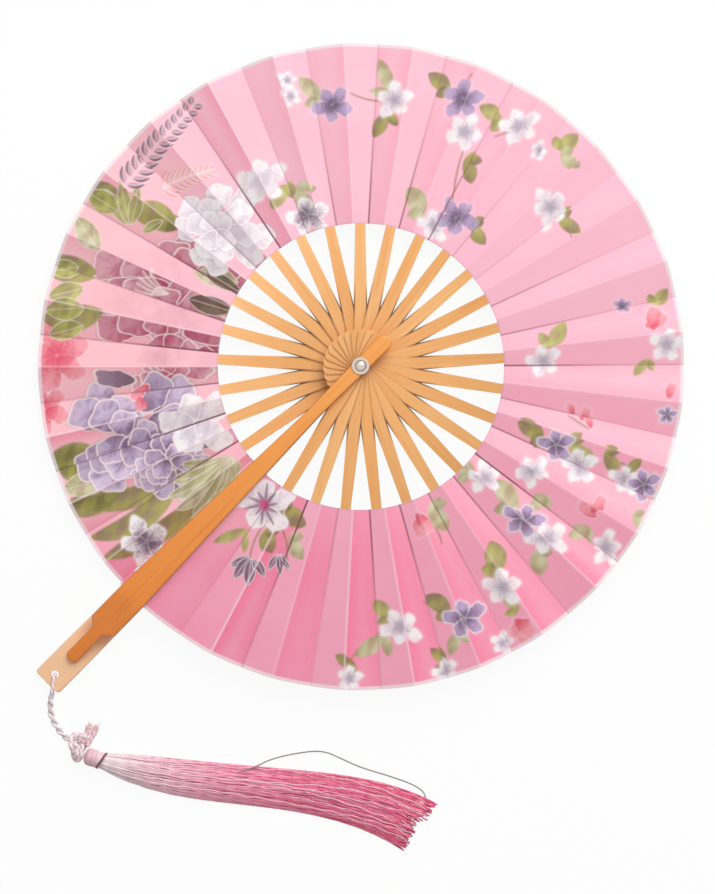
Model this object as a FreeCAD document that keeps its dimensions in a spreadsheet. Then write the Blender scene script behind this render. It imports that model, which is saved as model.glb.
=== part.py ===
"""Full-circle folding fan: bamboo ribs on one rivet, a pleated silk leaf, two guards and a tassel.

The fan lies open on its back. The pivot is the Z axis, z = 0 is the back of the rear guard, and the stack of
ribs climbs from the rear guard to the front guard, one turn clockwise as seen from above.
"""

import FreeCAD, Part
import math
import os

import Sketcher
from FreeCAD import Placement, Rotation, Vector

UP = Vector(0, 0, 1)

# Driving sizes in millimetres and degrees: name, value, what it is.
SIZES = [
    ("rib_count", 28, "ribs between the two guards"),
    ("guard_angle", 225.2, "direction of the handle from the pivot, counter-clockwise from +X"),
    ("rib_lead", 1.5, "how far the ribs stand round from even spacing"),
    ("pin_dia", 4.0, "rivet shank"),
    ("pin_clear", 0.08, "room round the shank, on the radius"),
    ("rib_width", 7.5, "rib round the pivot"),
    ("twist_width", 5.8, "rib where the leaf begins"),
    ("rib_tip_width", 4.0, "rib at its tip"),
    ("rib_thick", 0.38, "rib at the pivot"),
    ("rib_tip_thick", 0.2, "rib at its tip"),
    ("rib_butt", 21.0, "rib behind the pivot"),
    ("rib_flat", 36.0, "flat part of a rib, from the pivot"),
    ("rib_inset", 3.0, "leaf beyond the rib's tip"),
    ("twist_lead", 3.0, "rib at its full tilt before the leaf begins"),
    ("stack_gap", 0.14, "between two ribs at the pivot"),
    ("tip_gap", 0.12, "between two folded ribs at their tips"),
    ("front_gap", 0.4, "between the top rib and the front guard at the pivot"),
    ("leaf_inner", 80.0, "radius of the leaf's inner edge"),
    ("leaf_outer", 180.5, "radius of the leaf's rim"),
    ("leaf_thick", 0.2, "silk and its paste"),
    ("glue_gap", 0.06, "between the leaf and what it is glued to"),
    ("pleat_tilt", 12.0, "slope of a pleat across its rib"),
    ("pleat_share", 0.5, "share of the spacing that a rib's own pleat takes"),
    ("leaf_turn", 1.2, "leaf past the front guard's open edge"),
    ("leaf_lap", 0.6, "leaf past the other guard edges"),
    ("fold_room", 0.15, "room for the folded leaf under the front guard"),
    ("guard_thick", 3.0, "both guards"),
    ("guard_stub", 21.5, "guards behind the pivot"),
    ("stub_width", 8.8, "guards at that end"),
    ("butt_round", 3.0, "corners of that end"),
    ("waist_reach", 38.0, "narrowest place of the guards, from the pivot"),
    ("waist_width", 6.9, "guards there"),
    ("grip_lead", 2.5, "handle at its full width inside the leaf's rim"),
    ("grip_width", 17.0, "handle"),
    ("bend_margin", 3.0, "front guard straight past the leaf's rim"),
    ("grip_length", 26.0, "front guard at the handle's full width"),
    ("shoulder_length", 4.0, "slope where the front guard narrows to its tongue"),
    ("tongue_length", 22.7, "tongue past that slope"),
    ("tongue_width", 7.4, "tongue"),
    ("tongue_round", 2.6, "corners of the tongue"),
    ("tongue_thick", 2.2, "tongue at its end"),
    ("tongue_gap", 0.6, "tongue over the paddle"),
    ("rear_straight", 10.0, "rear guard flat on the table at the handle's full width"),
    ("rear_ramp", 38.0, "rear guard rising to its paddle"),
    ("paddle_length", 23.4, "paddle, level again"),
    ("paddle_width", 18.0, "paddle"),
    ("paddle_round", 2.0, "corners of the paddle"),
    ("paddle_thick", 2.6, "paddle"),
    ("paddle_lift", 4.0, "underside of the paddle over the table"),
    ("hole_inset", 6.4, "tassel hole from the end of the paddle"),
    ("hole_dia", 4.5, "tassel hole"),
    ("rivet_base", 0.15, "rear head over the table"),
    ("rear_head_dia", 5.4, "rear head"),
    ("rear_head_thick", 0.6, "rear head"),
    ("rear_washer_dia", 6.4, "rear washer"),
    ("recess_clear", 0.3, "room round the rear washer, on the radius"),
    ("washer_thick", 0.5, "both washers"),
    ("front_washer_dia", 9.6, "front washer"),
    ("front_head_dia", 6.6, "peened head"),
    ("front_head_rise", 1.7, "height of the peened head"),
    ("seat_gap", 0.08, "between stacked metal faces"),
    ("loop_turn", 34.8, "tassel loop's direction, on from the handle's"),
    ("loop_length", 16.0, "tassel loop from the hole"),
    ("loop_dia", 1.8, "one strand of the tassel cord"),
    ("loop_clear", 0.4, "strand over and under the paddle"),
    ("loop_joined", 2.4, "both strands side by side before the cord"),
    ("loop_climb", 2.6, "upper strand rising to the paddle"),
    ("cord_dia", 3.7, "both strands twisted together"),
    ("table_gap", 0.1, "cord over the table"),
    ("head_dia", 9.6, "wrapped head of the tassel"),
    ("band_dia", 0.9, "thread bound round the head"),
    ("tail_dia", 2.4, "short tails of the knot"),
]

# Sizes that follow from the others, as formulas.
FOLLOWING = [
    ("hub_pitch", "sizes.rib_thick + sizes.stack_gap"),
    ("tip_pitch", "sizes.rib_tip_thick / cos(sizes.pleat_tilt) + sizes.tip_gap"),
    ("rib_side", "sizes.rib_width / 2"),
    ("rib_round", "sizes.rib_butt - sizes.rib_width / 2"),
    ("rib_reach", "sizes.leaf_outer - sizes.rib_inset"),
    ("twist_reach", "sizes.leaf_inner - sizes.twist_lead"),
    ("twist_share", "(twist_reach - sizes.rib_flat) / (rib_reach - sizes.rib_flat)"),
    ("twist_thick", "sizes.rib_thick + (sizes.rib_tip_thick - sizes.rib_thick) * twist_share"),
    ("low_edge", "sizes.twist_width / 2 * sin(sizes.pleat_tilt)"),
    ("leaf_rise", "hub_pitch - tip_pitch + low_edge / twist_share"),
    ("hub_top", "sizes.guard_thick + sizes.rib_count * hub_pitch"),
    ("tip_top", "sizes.guard_thick + leaf_rise + sizes.rib_count * tip_pitch"),
    ("front_under", "hub_top + sizes.front_gap"),
    ("front_top", "front_under + sizes.guard_thick"),
    ("fold_rise", "sizes.grip_width / 2 * tan(sizes.pleat_tilt) + sizes.leaf_thick + sizes.fold_room"),
    ("rim_under", "tip_top + fold_rise"),
    ("rim_top", "rim_under + sizes.guard_thick"),
    ("front_bend", "sizes.leaf_outer + sizes.bend_margin"),
    ("grip_reach", "sizes.leaf_outer - sizes.grip_lead"),
    ("shoulder_reach", "grip_reach + sizes.grip_length"),
    ("tongue_root", "shoulder_reach + sizes.shoulder_length"),
    ("tongue_reach", "tongue_root + sizes.tongue_length"),
    ("rear_bend", "grip_reach + sizes.rear_straight"),
    ("paddle_start", "rear_bend + sizes.rear_ramp"),
    ("paddle_reach", "paddle_start + sizes.paddle_length"),
    ("hole_reach", "paddle_reach - sizes.hole_inset"),
    ("paddle_top", "sizes.paddle_lift + sizes.paddle_thick"),
    ("tongue_under", "paddle_top + sizes.tongue_gap"),
    ("tongue_top", "tongue_under + sizes.tongue_thick"),
    ("stub_side", "sizes.stub_width / 2"),
    ("stub_flat", "sizes.stub_width / 2 - sizes.butt_round"),
    ("stub_straight", "sizes.guard_stub - sizes.butt_round"),
    ("waist_side", "sizes.waist_width / 2"),
    ("grip_side", "sizes.grip_width / 2"),
    ("tongue_side", "sizes.tongue_width / 2"),
    ("tongue_flat", "sizes.tongue_width / 2 - sizes.tongue_round"),
    ("tongue_straight", "tongue_reach - sizes.tongue_round"),
    ("paddle_side", "sizes.paddle_width / 2"),
    ("paddle_flat", "sizes.paddle_width / 2 - sizes.paddle_round"),
    ("paddle_straight", "paddle_reach - sizes.paddle_round"),
    ("guard_span", "sizes.grip_width + sizes.paddle_width"),
    ("slab_height", "front_top + sizes.guard_thick"),
    ("pin_side", "sizes.pin_dia / 2"),
    ("pin_hole_side", "sizes.pin_dia / 2 + sizes.pin_clear"),
    ("rear_head_side", "sizes.rear_head_dia / 2"),
    ("rear_head_top", "sizes.rivet_base + sizes.rear_head_thick"),
    ("rear_washer_base", "rear_head_top + sizes.seat_gap"),
    ("recess_side", "sizes.rear_washer_dia / 2 + sizes.recess_clear"),
    ("recess_depth", "rear_washer_base + sizes.washer_thick + sizes.seat_gap"),
    ("front_washer_base", "front_top + sizes.seat_gap"),
    ("front_head_base", "front_washer_base + sizes.washer_thick + sizes.seat_gap"),
    ("front_head_side", "sizes.front_head_dia / 2"),
    ("front_head_top", "front_head_base + sizes.front_head_rise"),
    ("dome_radius", "(front_head_side ^ 2 + sizes.front_head_rise ^ 2) / (2 * sizes.front_head_rise)"),
    ("head_height", "sizes.head_dia / 2 + sizes.band_dia / 2 + sizes.table_gap"),
]

# The tassel as it lies: places are (across, up the picture) from the hole, in millimetres.
CORD_ROUTE = [(-2.9, -21.5, 2.4), (-0.9, -27.3, 1.95), (3.0, -33.3, 1.95), (8.2, -37.5, 2.6)]
KNOT_PLACE = (12.4, -40.6, 4.6)
KNOT_RADII = (4.4, 4.9, 8.6)
KNOT_TURN = -12.0
TAILS = [((15.8, -37.2, 5.2), (19.5, -28.3, 2.6)), ((17.8, -38.3, 4.6), (22.3, -28.0, 1.9))]
HEAD_ENDS = ((16.3, -45.3), (26.1, -48.3))
SKIRT_SECTIONS = [
    # across, up the picture, width, height, height of the underside
    (27.0, -48.6, 9.4, 9.4, 0.9),
    (57.4, -56.6, 19.0, 8.2, 0.0),
    (93.7, -60.4, 23.0, 7.2, 0.0),
    (135.6, -66.5, 22.8, 6.6, 0.0),
    (173.5, -72.8, 28.5, 6.0, 0.0),
    (206.0, -87.2, 32.7, 5.0, 0.0),
]
# Flats round the upper side of the skirt.
SKIRT_FLATS = 8
# A tube's arc takes this share of the shorter of the two runs that it joins.
ARC_SHARE = 0.45

doc = FreeCAD.newDocument("folding_fan")
sizes = doc.addObject("Spreadsheet::Sheet", "sizes")
following = doc.addObject("Spreadsheet::Sheet", "following")
nodes = []


def fill_sheets():
    """Put the driving sizes in one sheet, and the formulas of those that follow in another."""
    for row, (name, number, note) in enumerate(SIZES, 1):
        sizes.set(f"A{row}", note)
        sizes.set(f"B{row}", str(number))
        sizes.setAlias(f"B{row}", name)
    doc.recompute()
    for row, (name, formula) in enumerate(FOLLOWING, 1):
        following.set(f"A{row}", name)
        following.set(f"B{row}", "=" + formula)
        following.setAlias(f"B{row}", name)
    doc.recompute()


def cell(name):
    """The name as an expression, from whichever sheet holds it."""
    return f"{'sizes' if name in DRIVING else 'following'}.{name}"


def value(name):
    """The number that a name stands for; a minus sign in front turns it round, and 0 is itself."""
    if name == "0":
        return 0.0
    if name.startswith("-"):
        return -value(name[1:])
    return float((sizes if name in DRIVING else following).get(name))


def bind(target, links):
    """Tie each property of a feature to an expression."""
    for key, expression in links.items():
        target.setExpression(key, expression)


def new_body(name):
    body = doc.addObject("PartDesign::Body", name)
    body.Label = name
    return body


def new_sketch(body, name, role):
    """An empty sketch on one of the body's own origin planes."""
    sketch = body.newObject("Sketcher::SketchObject", name)
    plane = next(feature for feature in body.Origin.OriginFeatures if feature.Role == role)
    sketch.AttachmentSupport = [(plane, "")]
    sketch.MapMode = "FlatFace"
    return sketch


def tie_point(sketch, point, kind, name):
    """Hold one coordinate of a sketch point at a named size from the sketch's origin."""
    # In a sketch, -1 is the horizontal axis, -2 the vertical one, and point 1 of -1 the origin.
    if name == "0":
        sketch.addConstraint(Sketcher.Constraint("PointOnObject", *point, -2 if kind == "DistanceX" else -1))
        return
    ends = (*point, -1, 1) if name.startswith("-") else (-1, 1, *point)
    plain = name.lstrip("-")
    index = sketch.addConstraint(Sketcher.Constraint(kind, *ends, value(plain)))
    sketch.setExpression(f"Constraints[{index}]", cell(plain))


def draw_outline(sketch, corners, rounds=None):
    """A closed outline, counter-clockwise, through corners named by size; rounds gives the radius of the
    stretch after a corner where that is an arc and not a line."""
    rounds = rounds or {}
    spots = [Vector(value(across), value(along), 0) for across, along in corners]
    for number, start in enumerate(spots):
        end = spots[(number + 1) % len(spots)]
        if number not in rounds:
            sketch.addGeometry(Part.LineSegment(start, end))
            continue
        radius = value(rounds[number])
        chord = end - start
        outward = Vector(chord.y, -chord.x, 0).normalize()
        rise = radius - math.sqrt(max(radius**2 - chord.Length**2 / 4, 0))
        sketch.addGeometry(Part.Arc(start, (start + end) * 0.5 + outward * rise, end))
    count = len(spots)
    for number in range(count):
        sketch.addConstraint(Sketcher.Constraint("Coincident", number, 2, (number + 1) % count, 1))
    for number, (across, along) in enumerate(corners):
        tie_point(sketch, (number, 1), "DistanceX", across)
        tie_point(sketch, (number, 1), "DistanceY", along)
    for number, radius in rounds.items():
        chord = spots[(number + 1) % count] - spots[number]
        if abs(chord.Length - 2 * value(radius)) < 1e-6:
            # A half circle is held by its centre, which lies level with its ends.
            tie_point(sketch, (number, 3), "DistanceX", corners[number][0])
            continue
        index = sketch.addConstraint(Sketcher.Constraint("Radius", number, value(radius)))
        sketch.setExpression(f"Constraints[{index}]", cell(radius))


def draw_circle(sketch, radius):
    """A circle about the sketch's origin."""
    ring = sketch.addGeometry(Part.Circle(Vector(0, 0, 0), UP, value(radius)))
    sketch.addConstraint(Sketcher.Constraint("Coincident", ring, 3, -1, 1))
    index = sketch.addConstraint(Sketcher.Constraint("Radius", ring, value(radius)))
    sketch.setExpression(f"Constraints[{index}]", cell(radius))


def pad(body, sketch, length, symmetric=False):
    feature = body.newObject("PartDesign::Pad", f"{body.Name}_{sketch.Name}_pad")
    feature.Profile = sketch
    if symmetric:
        feature.SideType = "Symmetric"
    feature.setExpression("Length", cell(length))
    return feature


def keep(feature, name):
    """List a finished piece under the name of its file."""
    feature.Label = name
    nodes.append(feature)
    return feature


def rib_stack_place(number):
    """A rib's place in the stack, counted up from the rear guard; rib 1 lies under the front guard."""
    return f"({cell('rib_count')} + 1 - {number})"


def rib_turn(number):
    return (
        f"{cell('guard_angle')} + {cell('rib_lead')}"
        f" + {number} * 360 / ({cell('rib_count')} + 1) - 360"
    )


def draw_section(body, name, width, thick, links):
    """A rib's cross-section, its top edge centred on the sketch's origin, standing across the rib."""
    sketch = new_sketch(body, name, "YZ_Plane")
    half = value(width) / 2
    low = -value(thick)
    corners = [Vector(-half, 0, 0), Vector(-half, low, 0), Vector(half, low, 0), Vector(half, 0, 0)]
    for number in range(4):
        sketch.addGeometry(Part.LineSegment(corners[number], corners[(number + 1) % 4]))
    for number in range(4):
        sketch.addConstraint(Sketcher.Constraint("Coincident", number, 2, (number + 1) % 4, 1))
    sketch.addConstraint(Sketcher.Constraint("Vertical", 0))
    sketch.addConstraint(Sketcher.Constraint("Vertical", 2))
    sketch.addConstraint(Sketcher.Constraint("Horizontal", 1))
    sketch.addConstraint(Sketcher.Constraint("Symmetric", 0, 1, 2, 2, -1, 1))
    across = sketch.addConstraint(Sketcher.Constraint("DistanceX", 1, 1, 1, 2, 2 * half))
    down = sketch.addConstraint(Sketcher.Constraint("DistanceY", 0, 2, 0, 1, -low))
    bind(sketch, {f"Constraints[{across}]": cell(width), f"Constraints[{down}]": cell(thick)})
    bind(sketch, links)
    return sketch


def make_rib(number):
    """A slat, flat round the pivot, twisted to the pleat's tilt before the leaf, and thinning to its tip."""
    name = f"rib_{number:02d}"
    body = new_body(name)
    flat = new_sketch(body, f"{name}_flat", "XY_Plane")
    corners = [
        ("-rib_round", "-rib_side"),
        ("rib_flat", "-rib_side"),
        ("rib_flat", "rib_side"),
        ("-rib_round", "rib_side"),
    ]
    draw_outline(flat, corners, {3: "rib_side"})
    draw_circle(flat, "pin_hole_side")
    pad(body, flat, "rib_thick")
    place = rib_stack_place(number)
    hub_drop = f"({cell('guard_thick')} + {place} * {cell('hub_pitch')} - {cell('rib_thick')})"
    tip_level = f"({cell('guard_thick')} + {cell('leaf_rise')} + {place} * {cell('tip_pitch')} - {hub_drop})"
    twist_level = f"({cell('rib_thick')} + ({tip_level} - {cell('rib_thick')}) * {cell('twist_share')})"
    stations = [
        ("root", "rib_width", "rib_thick", "rib_flat", cell("rib_thick"), "0"),
        ("twist", "twist_width", "twist_thick", "twist_reach", twist_level, cell("pleat_tilt")),
        ("tip", "rib_tip_width", "rib_tip_thick", "rib_reach", tip_level, cell("pleat_tilt")),
    ]
    sections = []
    for end, width, thick, reach, level, tilt in stations:
        links = {
            "AttachmentOffset.Base.y": level,
            "AttachmentOffset.Base.z": cell(reach),
            "AttachmentOffset.Rotation.Angle": tilt,
        }
        sections.append(draw_section(body, f"{name}_{end}", width, thick, links))
    blade = body.newObject("PartDesign::AdditiveLoft", f"{name}_blade")
    blade.Profile = sections[0]
    blade.Sections = sections[1:]
    blade.Ruled = True
    body.Placement = Placement(Vector(0, 0, 0), Rotation(UP, 1.0))
    bind(body, {"Placement.Base.z": hub_drop, "Placement.Rotation.Angle": rib_turn(number)})
    return keep(body, name)


def make_slab(name, role, corners, rounds, length, symmetric):
    """One of the two slabs whose common part is a guard, turned to the handle's direction."""
    body = new_body(name)
    sketch = new_sketch(body, f"{name}_outline", role)
    draw_outline(sketch, corners, rounds)
    pad(body, sketch, length, symmetric)
    body.Placement = Placement(Vector(0, 0, 0), Rotation(UP, 1.0))
    body.setExpression("Placement.Rotation.Angle", cell("guard_angle"))
    return body


def make_drill(name, radius, height, links=None):
    """An upright cylinder, on the table and round the pivot unless links place it; most cut a hole."""
    drill = doc.addObject("Part::Cylinder", name)
    bind(drill, {"Radius": radius, "Height": height})
    bind(drill, links or {})
    return drill


def make_guard(name, plan, tip_round, side, drills):
    """A bamboo slat: what its outlines from above and from the side have in common, less its holes."""
    half = len(plan)
    corners = [(along, "-" + across) for along, across in plan] + plan[::-1]
    rounds = {0: "butt_round", half - 2: tip_round, half: tip_round, 2 * half - 2: "butt_round"}
    seen_from_above = make_slab(f"{name}_above", "XY_Plane", corners, rounds, "slab_height", False)
    seen_from_side = make_slab(f"{name}_side", "XZ_Plane", side, None, "guard_span", True)
    slat = doc.addObject("Part::Common", f"{name}_slat")
    slat.Base = seen_from_above
    slat.Tool = seen_from_side
    for number, drill in enumerate(drills):
        cut = doc.addObject("Part::Cut", f"{name}_cut_{number}")
        cut.Base = slat
        cut.Tool = drill
        slat = cut
    return keep(slat, name)


def make_guards():
    """Both guards are alike from stub to handle; one then ends in a tongue, the other in a paddle."""
    butt = [
        ("-guard_stub", "stub_flat"),
        ("-stub_straight", "stub_side"),
        ("waist_reach", "waist_side"),
        ("grip_reach", "grip_side"),
    ]
    tongue = [
        ("shoulder_reach", "grip_side"),
        ("tongue_root", "tongue_side"),
        ("tongue_straight", "tongue_side"),
        ("tongue_reach", "tongue_flat"),
    ]
    paddle = [
        ("paddle_start", "paddle_side"),
        ("paddle_straight", "paddle_side"),
        ("paddle_reach", "paddle_flat"),
    ]
    front_side = [
        ("-guard_stub", "front_under"),
        ("twist_reach", "front_under"),
        ("front_bend", "rim_under"),
        ("tongue_reach", "tongue_under"),
        ("tongue_reach", "tongue_top"),
        ("front_bend", "rim_top"),
        ("twist_reach", "front_top"),
        ("-guard_stub", "front_top"),
    ]
    rear_side = [
        ("-guard_stub", "0"),
        ("rear_bend", "0"),
        ("paddle_start", "paddle_lift"),
        ("paddle_reach", "paddle_lift"),
        ("paddle_reach", "paddle_top"),
        ("paddle_start", "paddle_top"),
        ("rear_bend", "guard_thick"),
        ("-guard_stub", "guard_thick"),
    ]
    pin_hole = cell("pin_hole_side")
    through = cell("slab_height")
    front_drills = [make_drill("front_pin_hole", pin_hole, through)]
    make_guard("front_guard", butt + tongue, "tongue_round", front_side, front_drills)
    hole_place = {
        "Placement.Base.x": f"{cell('hole_reach')} * cos({cell('guard_angle')})",
        "Placement.Base.y": f"{cell('hole_reach')} * sin({cell('guard_angle')})",
    }
    rear_drills = [
        make_drill("rear_pin_hole", pin_hole, through),
        make_drill("rear_recess", cell("recess_side"), cell("recess_depth")),
        make_drill("tassel_hole", f"{cell('hole_dia')} / 2", through, hole_place),
    ]
    make_guard("rear_guard", butt + paddle, "paddle_round", rear_side, rear_drills)


def make_rivet():
    """The shank with its flat rear head and its domed front head, turned about the pivot."""
    body = new_body("rivet")
    sketch = new_sketch(body, "rivet_profile", "XZ_Plane")
    corners = [
        ("0", "rivet_base"),
        ("rear_head_side", "rivet_base"),
        ("rear_head_side", "rear_head_top"),
        ("pin_side", "rear_head_top"),
        ("pin_side", "front_head_base"),
        ("front_head_side", "front_head_base"),
        ("0", "front_head_top"),
    ]
    dome = corners.index(("front_head_side", "front_head_base"))
    draw_outline(sketch, corners, {dome: "dome_radius"})
    turned = body.newObject("PartDesign::Revolution", "rivet_turned")
    turned.Profile = sketch
    turned.ReferenceAxis = (sketch, ["V_Axis"])
    turned.Angle = 360
    keep(body, "rivet")


def make_washer(name, dia, base):
    """A flat ring with the ribs' own room round the shank."""
    seat = {"Placement.Base.z": cell(base)}
    blank = make_drill(f"{name}_blank", f"{cell(dia)} / 2", cell("washer_thick"), seat)
    bore = make_drill(f"{name}_bore", cell("pin_hole_side"), cell("washer_thick"), seat)
    ring = doc.addObject("Part::Cut", f"{name}_ring")
    ring.Base = blank
    ring.Tool = bore
    keep(ring, name)


def turned_point(angle, along, across, height):
    """A point given along and across a line that leaves the pivot at an angle."""
    return Rotation(UP, angle).multVec(Vector(along, across, height))


def guard_side_at(reach):
    """Half the guards' width at a distance from the pivot, between the waist and the handle."""
    share = (reach - value("waist_reach")) / (value("grip_reach") - value("waist_reach"))
    return value("waist_side") + (value("grip_side") - value("waist_side")) * min(share, 1.0)


def pleat_fold(number, radius, side):
    """A fold of the pleat over a rib: a point of the plane that lies on the rib, at the pleat's edge."""
    spacing = 360 / (value("rib_count") + 1)
    edge = math.radians(value("pleat_share") * spacing / 2)
    along = radius * math.cos(edge)
    across = side * radius * math.sin(edge)
    place = value("rib_count") + 1 - number
    root = value("guard_thick") + place * value("hub_pitch")
    tip = value("guard_thick") + value("leaf_rise") + place * value("tip_pitch")
    level = root + (tip - root) * (along - value("rib_flat")) / (value("rib_reach") - value("rib_flat"))
    slope = math.radians(value("pleat_tilt"))
    height = level + across * math.tan(slope) + value("glue_gap") / math.cos(slope)
    return turned_point(value("guard_angle") + value("rib_lead") + number * spacing, along, across, height)


def guard_fold(radius, side, lap, front):
    """A fold beside a guard: the leaf lies flat under the front guard, and flat on the rear one."""
    across = side * (guard_side_at(radius) + value(lap))
    along = math.sqrt(radius**2 - across**2)
    height = value("guard_thick") + value("glue_gap")
    if front:
        share = (along - value("twist_reach")) / (value("front_bend") - value("twist_reach"))
        under = value("front_under") + (value("rim_under") - value("front_under")) * share
        height = under - value("glue_gap") - value("leaf_thick")
    return turned_point(value("guard_angle"), along, across, height)


def make_leaf():
    """One pleated ring: flat facets between folds that run from the inner edge to the rim."""
    radii = (value("leaf_inner"), value("leaf_outer"))
    folds = [[guard_fold(r, -1, "leaf_turn", True) for r in radii]]
    folds.append([guard_fold(r, 1, "leaf_lap", True) for r in radii])
    for number in range(1, int(value("rib_count")) + 1):
        folds.append([pleat_fold(number, r, -1) for r in radii])
        folds.append([pleat_fold(number, r, 1) for r in radii])
    folds.append([guard_fold(r, -1, "leaf_lap", False) for r in radii])
    folds.append([guard_fold(r, 1, "leaf_lap", False) for r in radii])
    rise = UP * value("leaf_thick")
    faces = []

    def face(*corners):
        faces.append(Part.Face(Part.makePolygon([*corners, corners[0]])))

    def wall(start, end):
        face(start, end, end + rise, start + rise)

    for (inner, outer), (next_inner, next_outer) in zip(folds, folds[1:]):
        for lift in (Vector(0, 0, 0), rise):
            face(inner + lift, outer + lift, next_outer + lift)
            face(inner + lift, next_outer + lift, next_inner + lift)
        wall(inner, next_inner)
        wall(outer, next_outer)
    wall(*folds[0])
    wall(*folds[-1])
    shell = Part.makeShell(faces)
    shell.sewShape()
    solid = Part.makeSolid(shell)
    if solid.Volume < 0:
        solid.reverse()
    leaf = doc.addObject("Part::Feature", "leaf")
    leaf.Shape = solid
    keep(leaf, "leaf")


def hole_point(across, up, height):
    """A place given from the tassel hole, in the fan's own frame."""
    hole = turned_point(value("guard_angle"), value("hole_reach"), 0, 0)
    return hole + Vector(across, up, height)


def rounded_path(points, name):
    """Straight runs joined by tangent arcs, each as large as its two runs allow."""
    edges = []
    radii = []
    start = points[0]
    for before, corner, after in zip(points, points[1:], points[2:]):
        back = before - corner
        ahead = after - corner
        half_turn = (math.pi - back.getAngle(ahead)) / 2
        trim = ARC_SHARE * min(back.Length, ahead.Length)
        radii.append(trim / math.tan(half_turn))
        enter = corner + back.normalize() * trim
        leave = corner + ahead.normalize() * trim
        inward = (back + ahead).normalize()
        middle = corner + inward * (radii[-1] / math.cos(half_turn) - radii[-1])
        edges.append(Part.LineSegment(start, enter).toShape())
        edges.append(Part.Arc(enter, middle, leave).toShape())
        start = leave
    edges.append(Part.LineSegment(start, points[-1]).toShape())
    print(f"{name} bend radii", [round(radius, 1) for radius in radii])
    return Part.Wire(edges)


def make_tube(name, points, dia):
    """A round tube along a path; its volume is compared with its section times its length."""
    path = rounded_path(points, name)
    ring = Part.Circle(points[0], points[1] - points[0], dia / 2).toShape()
    tube = path.makePipeShell([Part.Wire(ring)], True, False)
    expected = math.pi * dia**2 / 4 * path.Length
    if abs(tube.Volume / expected - 1) > 0.01:
        raise RuntimeError(f"{name} has {tube.Volume:.1f} mm3 and should have {expected:.1f}")
    feature = doc.addObject("Part::Feature", name)
    feature.Shape = tube
    keep(feature, name)


def make_tassel_cord():
    """The loop through the paddle, and its two strands twisted together as one cord down to the knot."""
    way = Rotation(UP, value("guard_angle") + value("loop_turn")).multVec(Vector(1, 0, 0))
    strand = value("loop_dia")
    over = value("paddle_top") + value("loop_clear") + strand / 2
    under = value("paddle_lift") - value("loop_clear") - strand / 2
    upper = under + strand
    far = value("loop_length")
    joined = far - value("loop_joined")
    over_edge = joined - value("loop_climb")
    # distance from the hole along the loop, and height
    places = [(far, upper), (joined, upper), (over_edge, over), (0, over), (0, under), (far, under)]
    loop = [hole_point(way.x * out, way.y * out, height) for out, height in places]
    make_tube("tassel_loop", loop, strand)
    start = hole_point(way.x * far, way.y * far, under + strand / 2)
    make_tube("tassel_cord", [start] + [hole_point(*point) for point in CORD_ROUTE], value("cord_dia"))


def make_tassel_knot():
    knot = doc.addObject("Part::Ellipsoid", "tassel_knot")
    knot.Radius1, knot.Radius2, knot.Radius3 = KNOT_RADII
    knot.Angle1, knot.Angle2, knot.Angle3 = -90, 90, 360
    knot.Placement = Placement(hole_point(*KNOT_PLACE), Rotation(UP, KNOT_TURN))
    keep(knot, "tassel_knot")
    tails = []
    for number, (root, tip) in enumerate(TAILS):
        run = Vector(*tip) - Vector(*root)
        tail = doc.addObject("Part::Cone", f"tassel_tail_{number}")
        bind(tail, {"Radius1": f"{cell('tail_dia')} / 2 * 0.8", "Radius2": f"{cell('tail_dia')} / 2"})
        tail.Height = run.Length
        tail.Placement = Placement(hole_point(*root), Rotation(UP, run))
        tails.append(tail)
    pair = doc.addObject("Part::Compound", "tassel_tails")
    pair.Links = tails
    keep(pair, "tassel_tails")


def make_tassel_head():
    """The wrapped head, lying on its side, and the thread bound round its lower end."""
    height = value("head_height")
    root, end = (hole_point(across, up, height) for across, up in HEAD_ENDS)
    run = end - root
    turn = Rotation(UP, run)
    head = doc.addObject("Part::Cylinder", "tassel_head")
    head.setExpression("Radius", f"{cell('head_dia')} / 2")
    head.Height = run.Length
    head.Placement = Placement(root, turn)
    keep(head, "tassel_head")
    band = doc.addObject("Part::Torus", "tassel_band")
    bind(band, {"Radius1": f"{cell('head_dia')} / 2", "Radius2": f"{cell('band_dia')} / 2"})
    band.Placement = Placement(end, turn)
    keep(band, "tassel_band")


def make_tassel_skirt():
    """The bundle of loose threads: half round at the band, then spreading flat on the table."""
    middles = [Vector(across, up, 0) for across, up, *_ in SKIRT_SECTIONS]
    wires = []
    for number, (across, up, width, height, base) in enumerate(SKIRT_SECTIONS):
        run = middles[min(number + 1, len(middles) - 1)] - middles[max(number - 1, 0)]
        side = Vector(-run.y, run.x, 0).normalize() * (width / 2)
        middle = hole_point(across, up, base)
        turns = [math.pi * step / SKIRT_FLATS for step in range(SKIRT_FLATS + 1)]
        rim = [middle + side * math.cos(turn) + UP * (height * math.sin(turn)) for turn in turns]
        wires.append(Part.makePolygon([*rim, rim[0]]))
    skirt = doc.addObject("Part::Feature", "tassel_skirt")
    skirt.Shape = Part.makeLoft(wires, True, True)
    keep(skirt, "tassel_skirt")


def check_and_write():
    """Stop on a failed feature or a bad solid, then write one file for each piece."""
    doc.recompute()
    for feature in doc.Objects:
        if "Invalid" in feature.State or "Error" in feature.State:
            raise RuntimeError(f"{feature.Label} failed: {feature.State}")
    for node in nodes:
        if node.Shape.isNull() or not node.Shape.isValid() or node.Shape.Volume <= 0:
            raise RuntimeError(f"{node.Label} is not a sound solid")
    os.makedirs("parts", exist_ok=True)
    for node in nodes:
        node.Shape.exportStep(f"parts/{node.Label}.step")
    print(f"{len(nodes)} pieces written")


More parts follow.
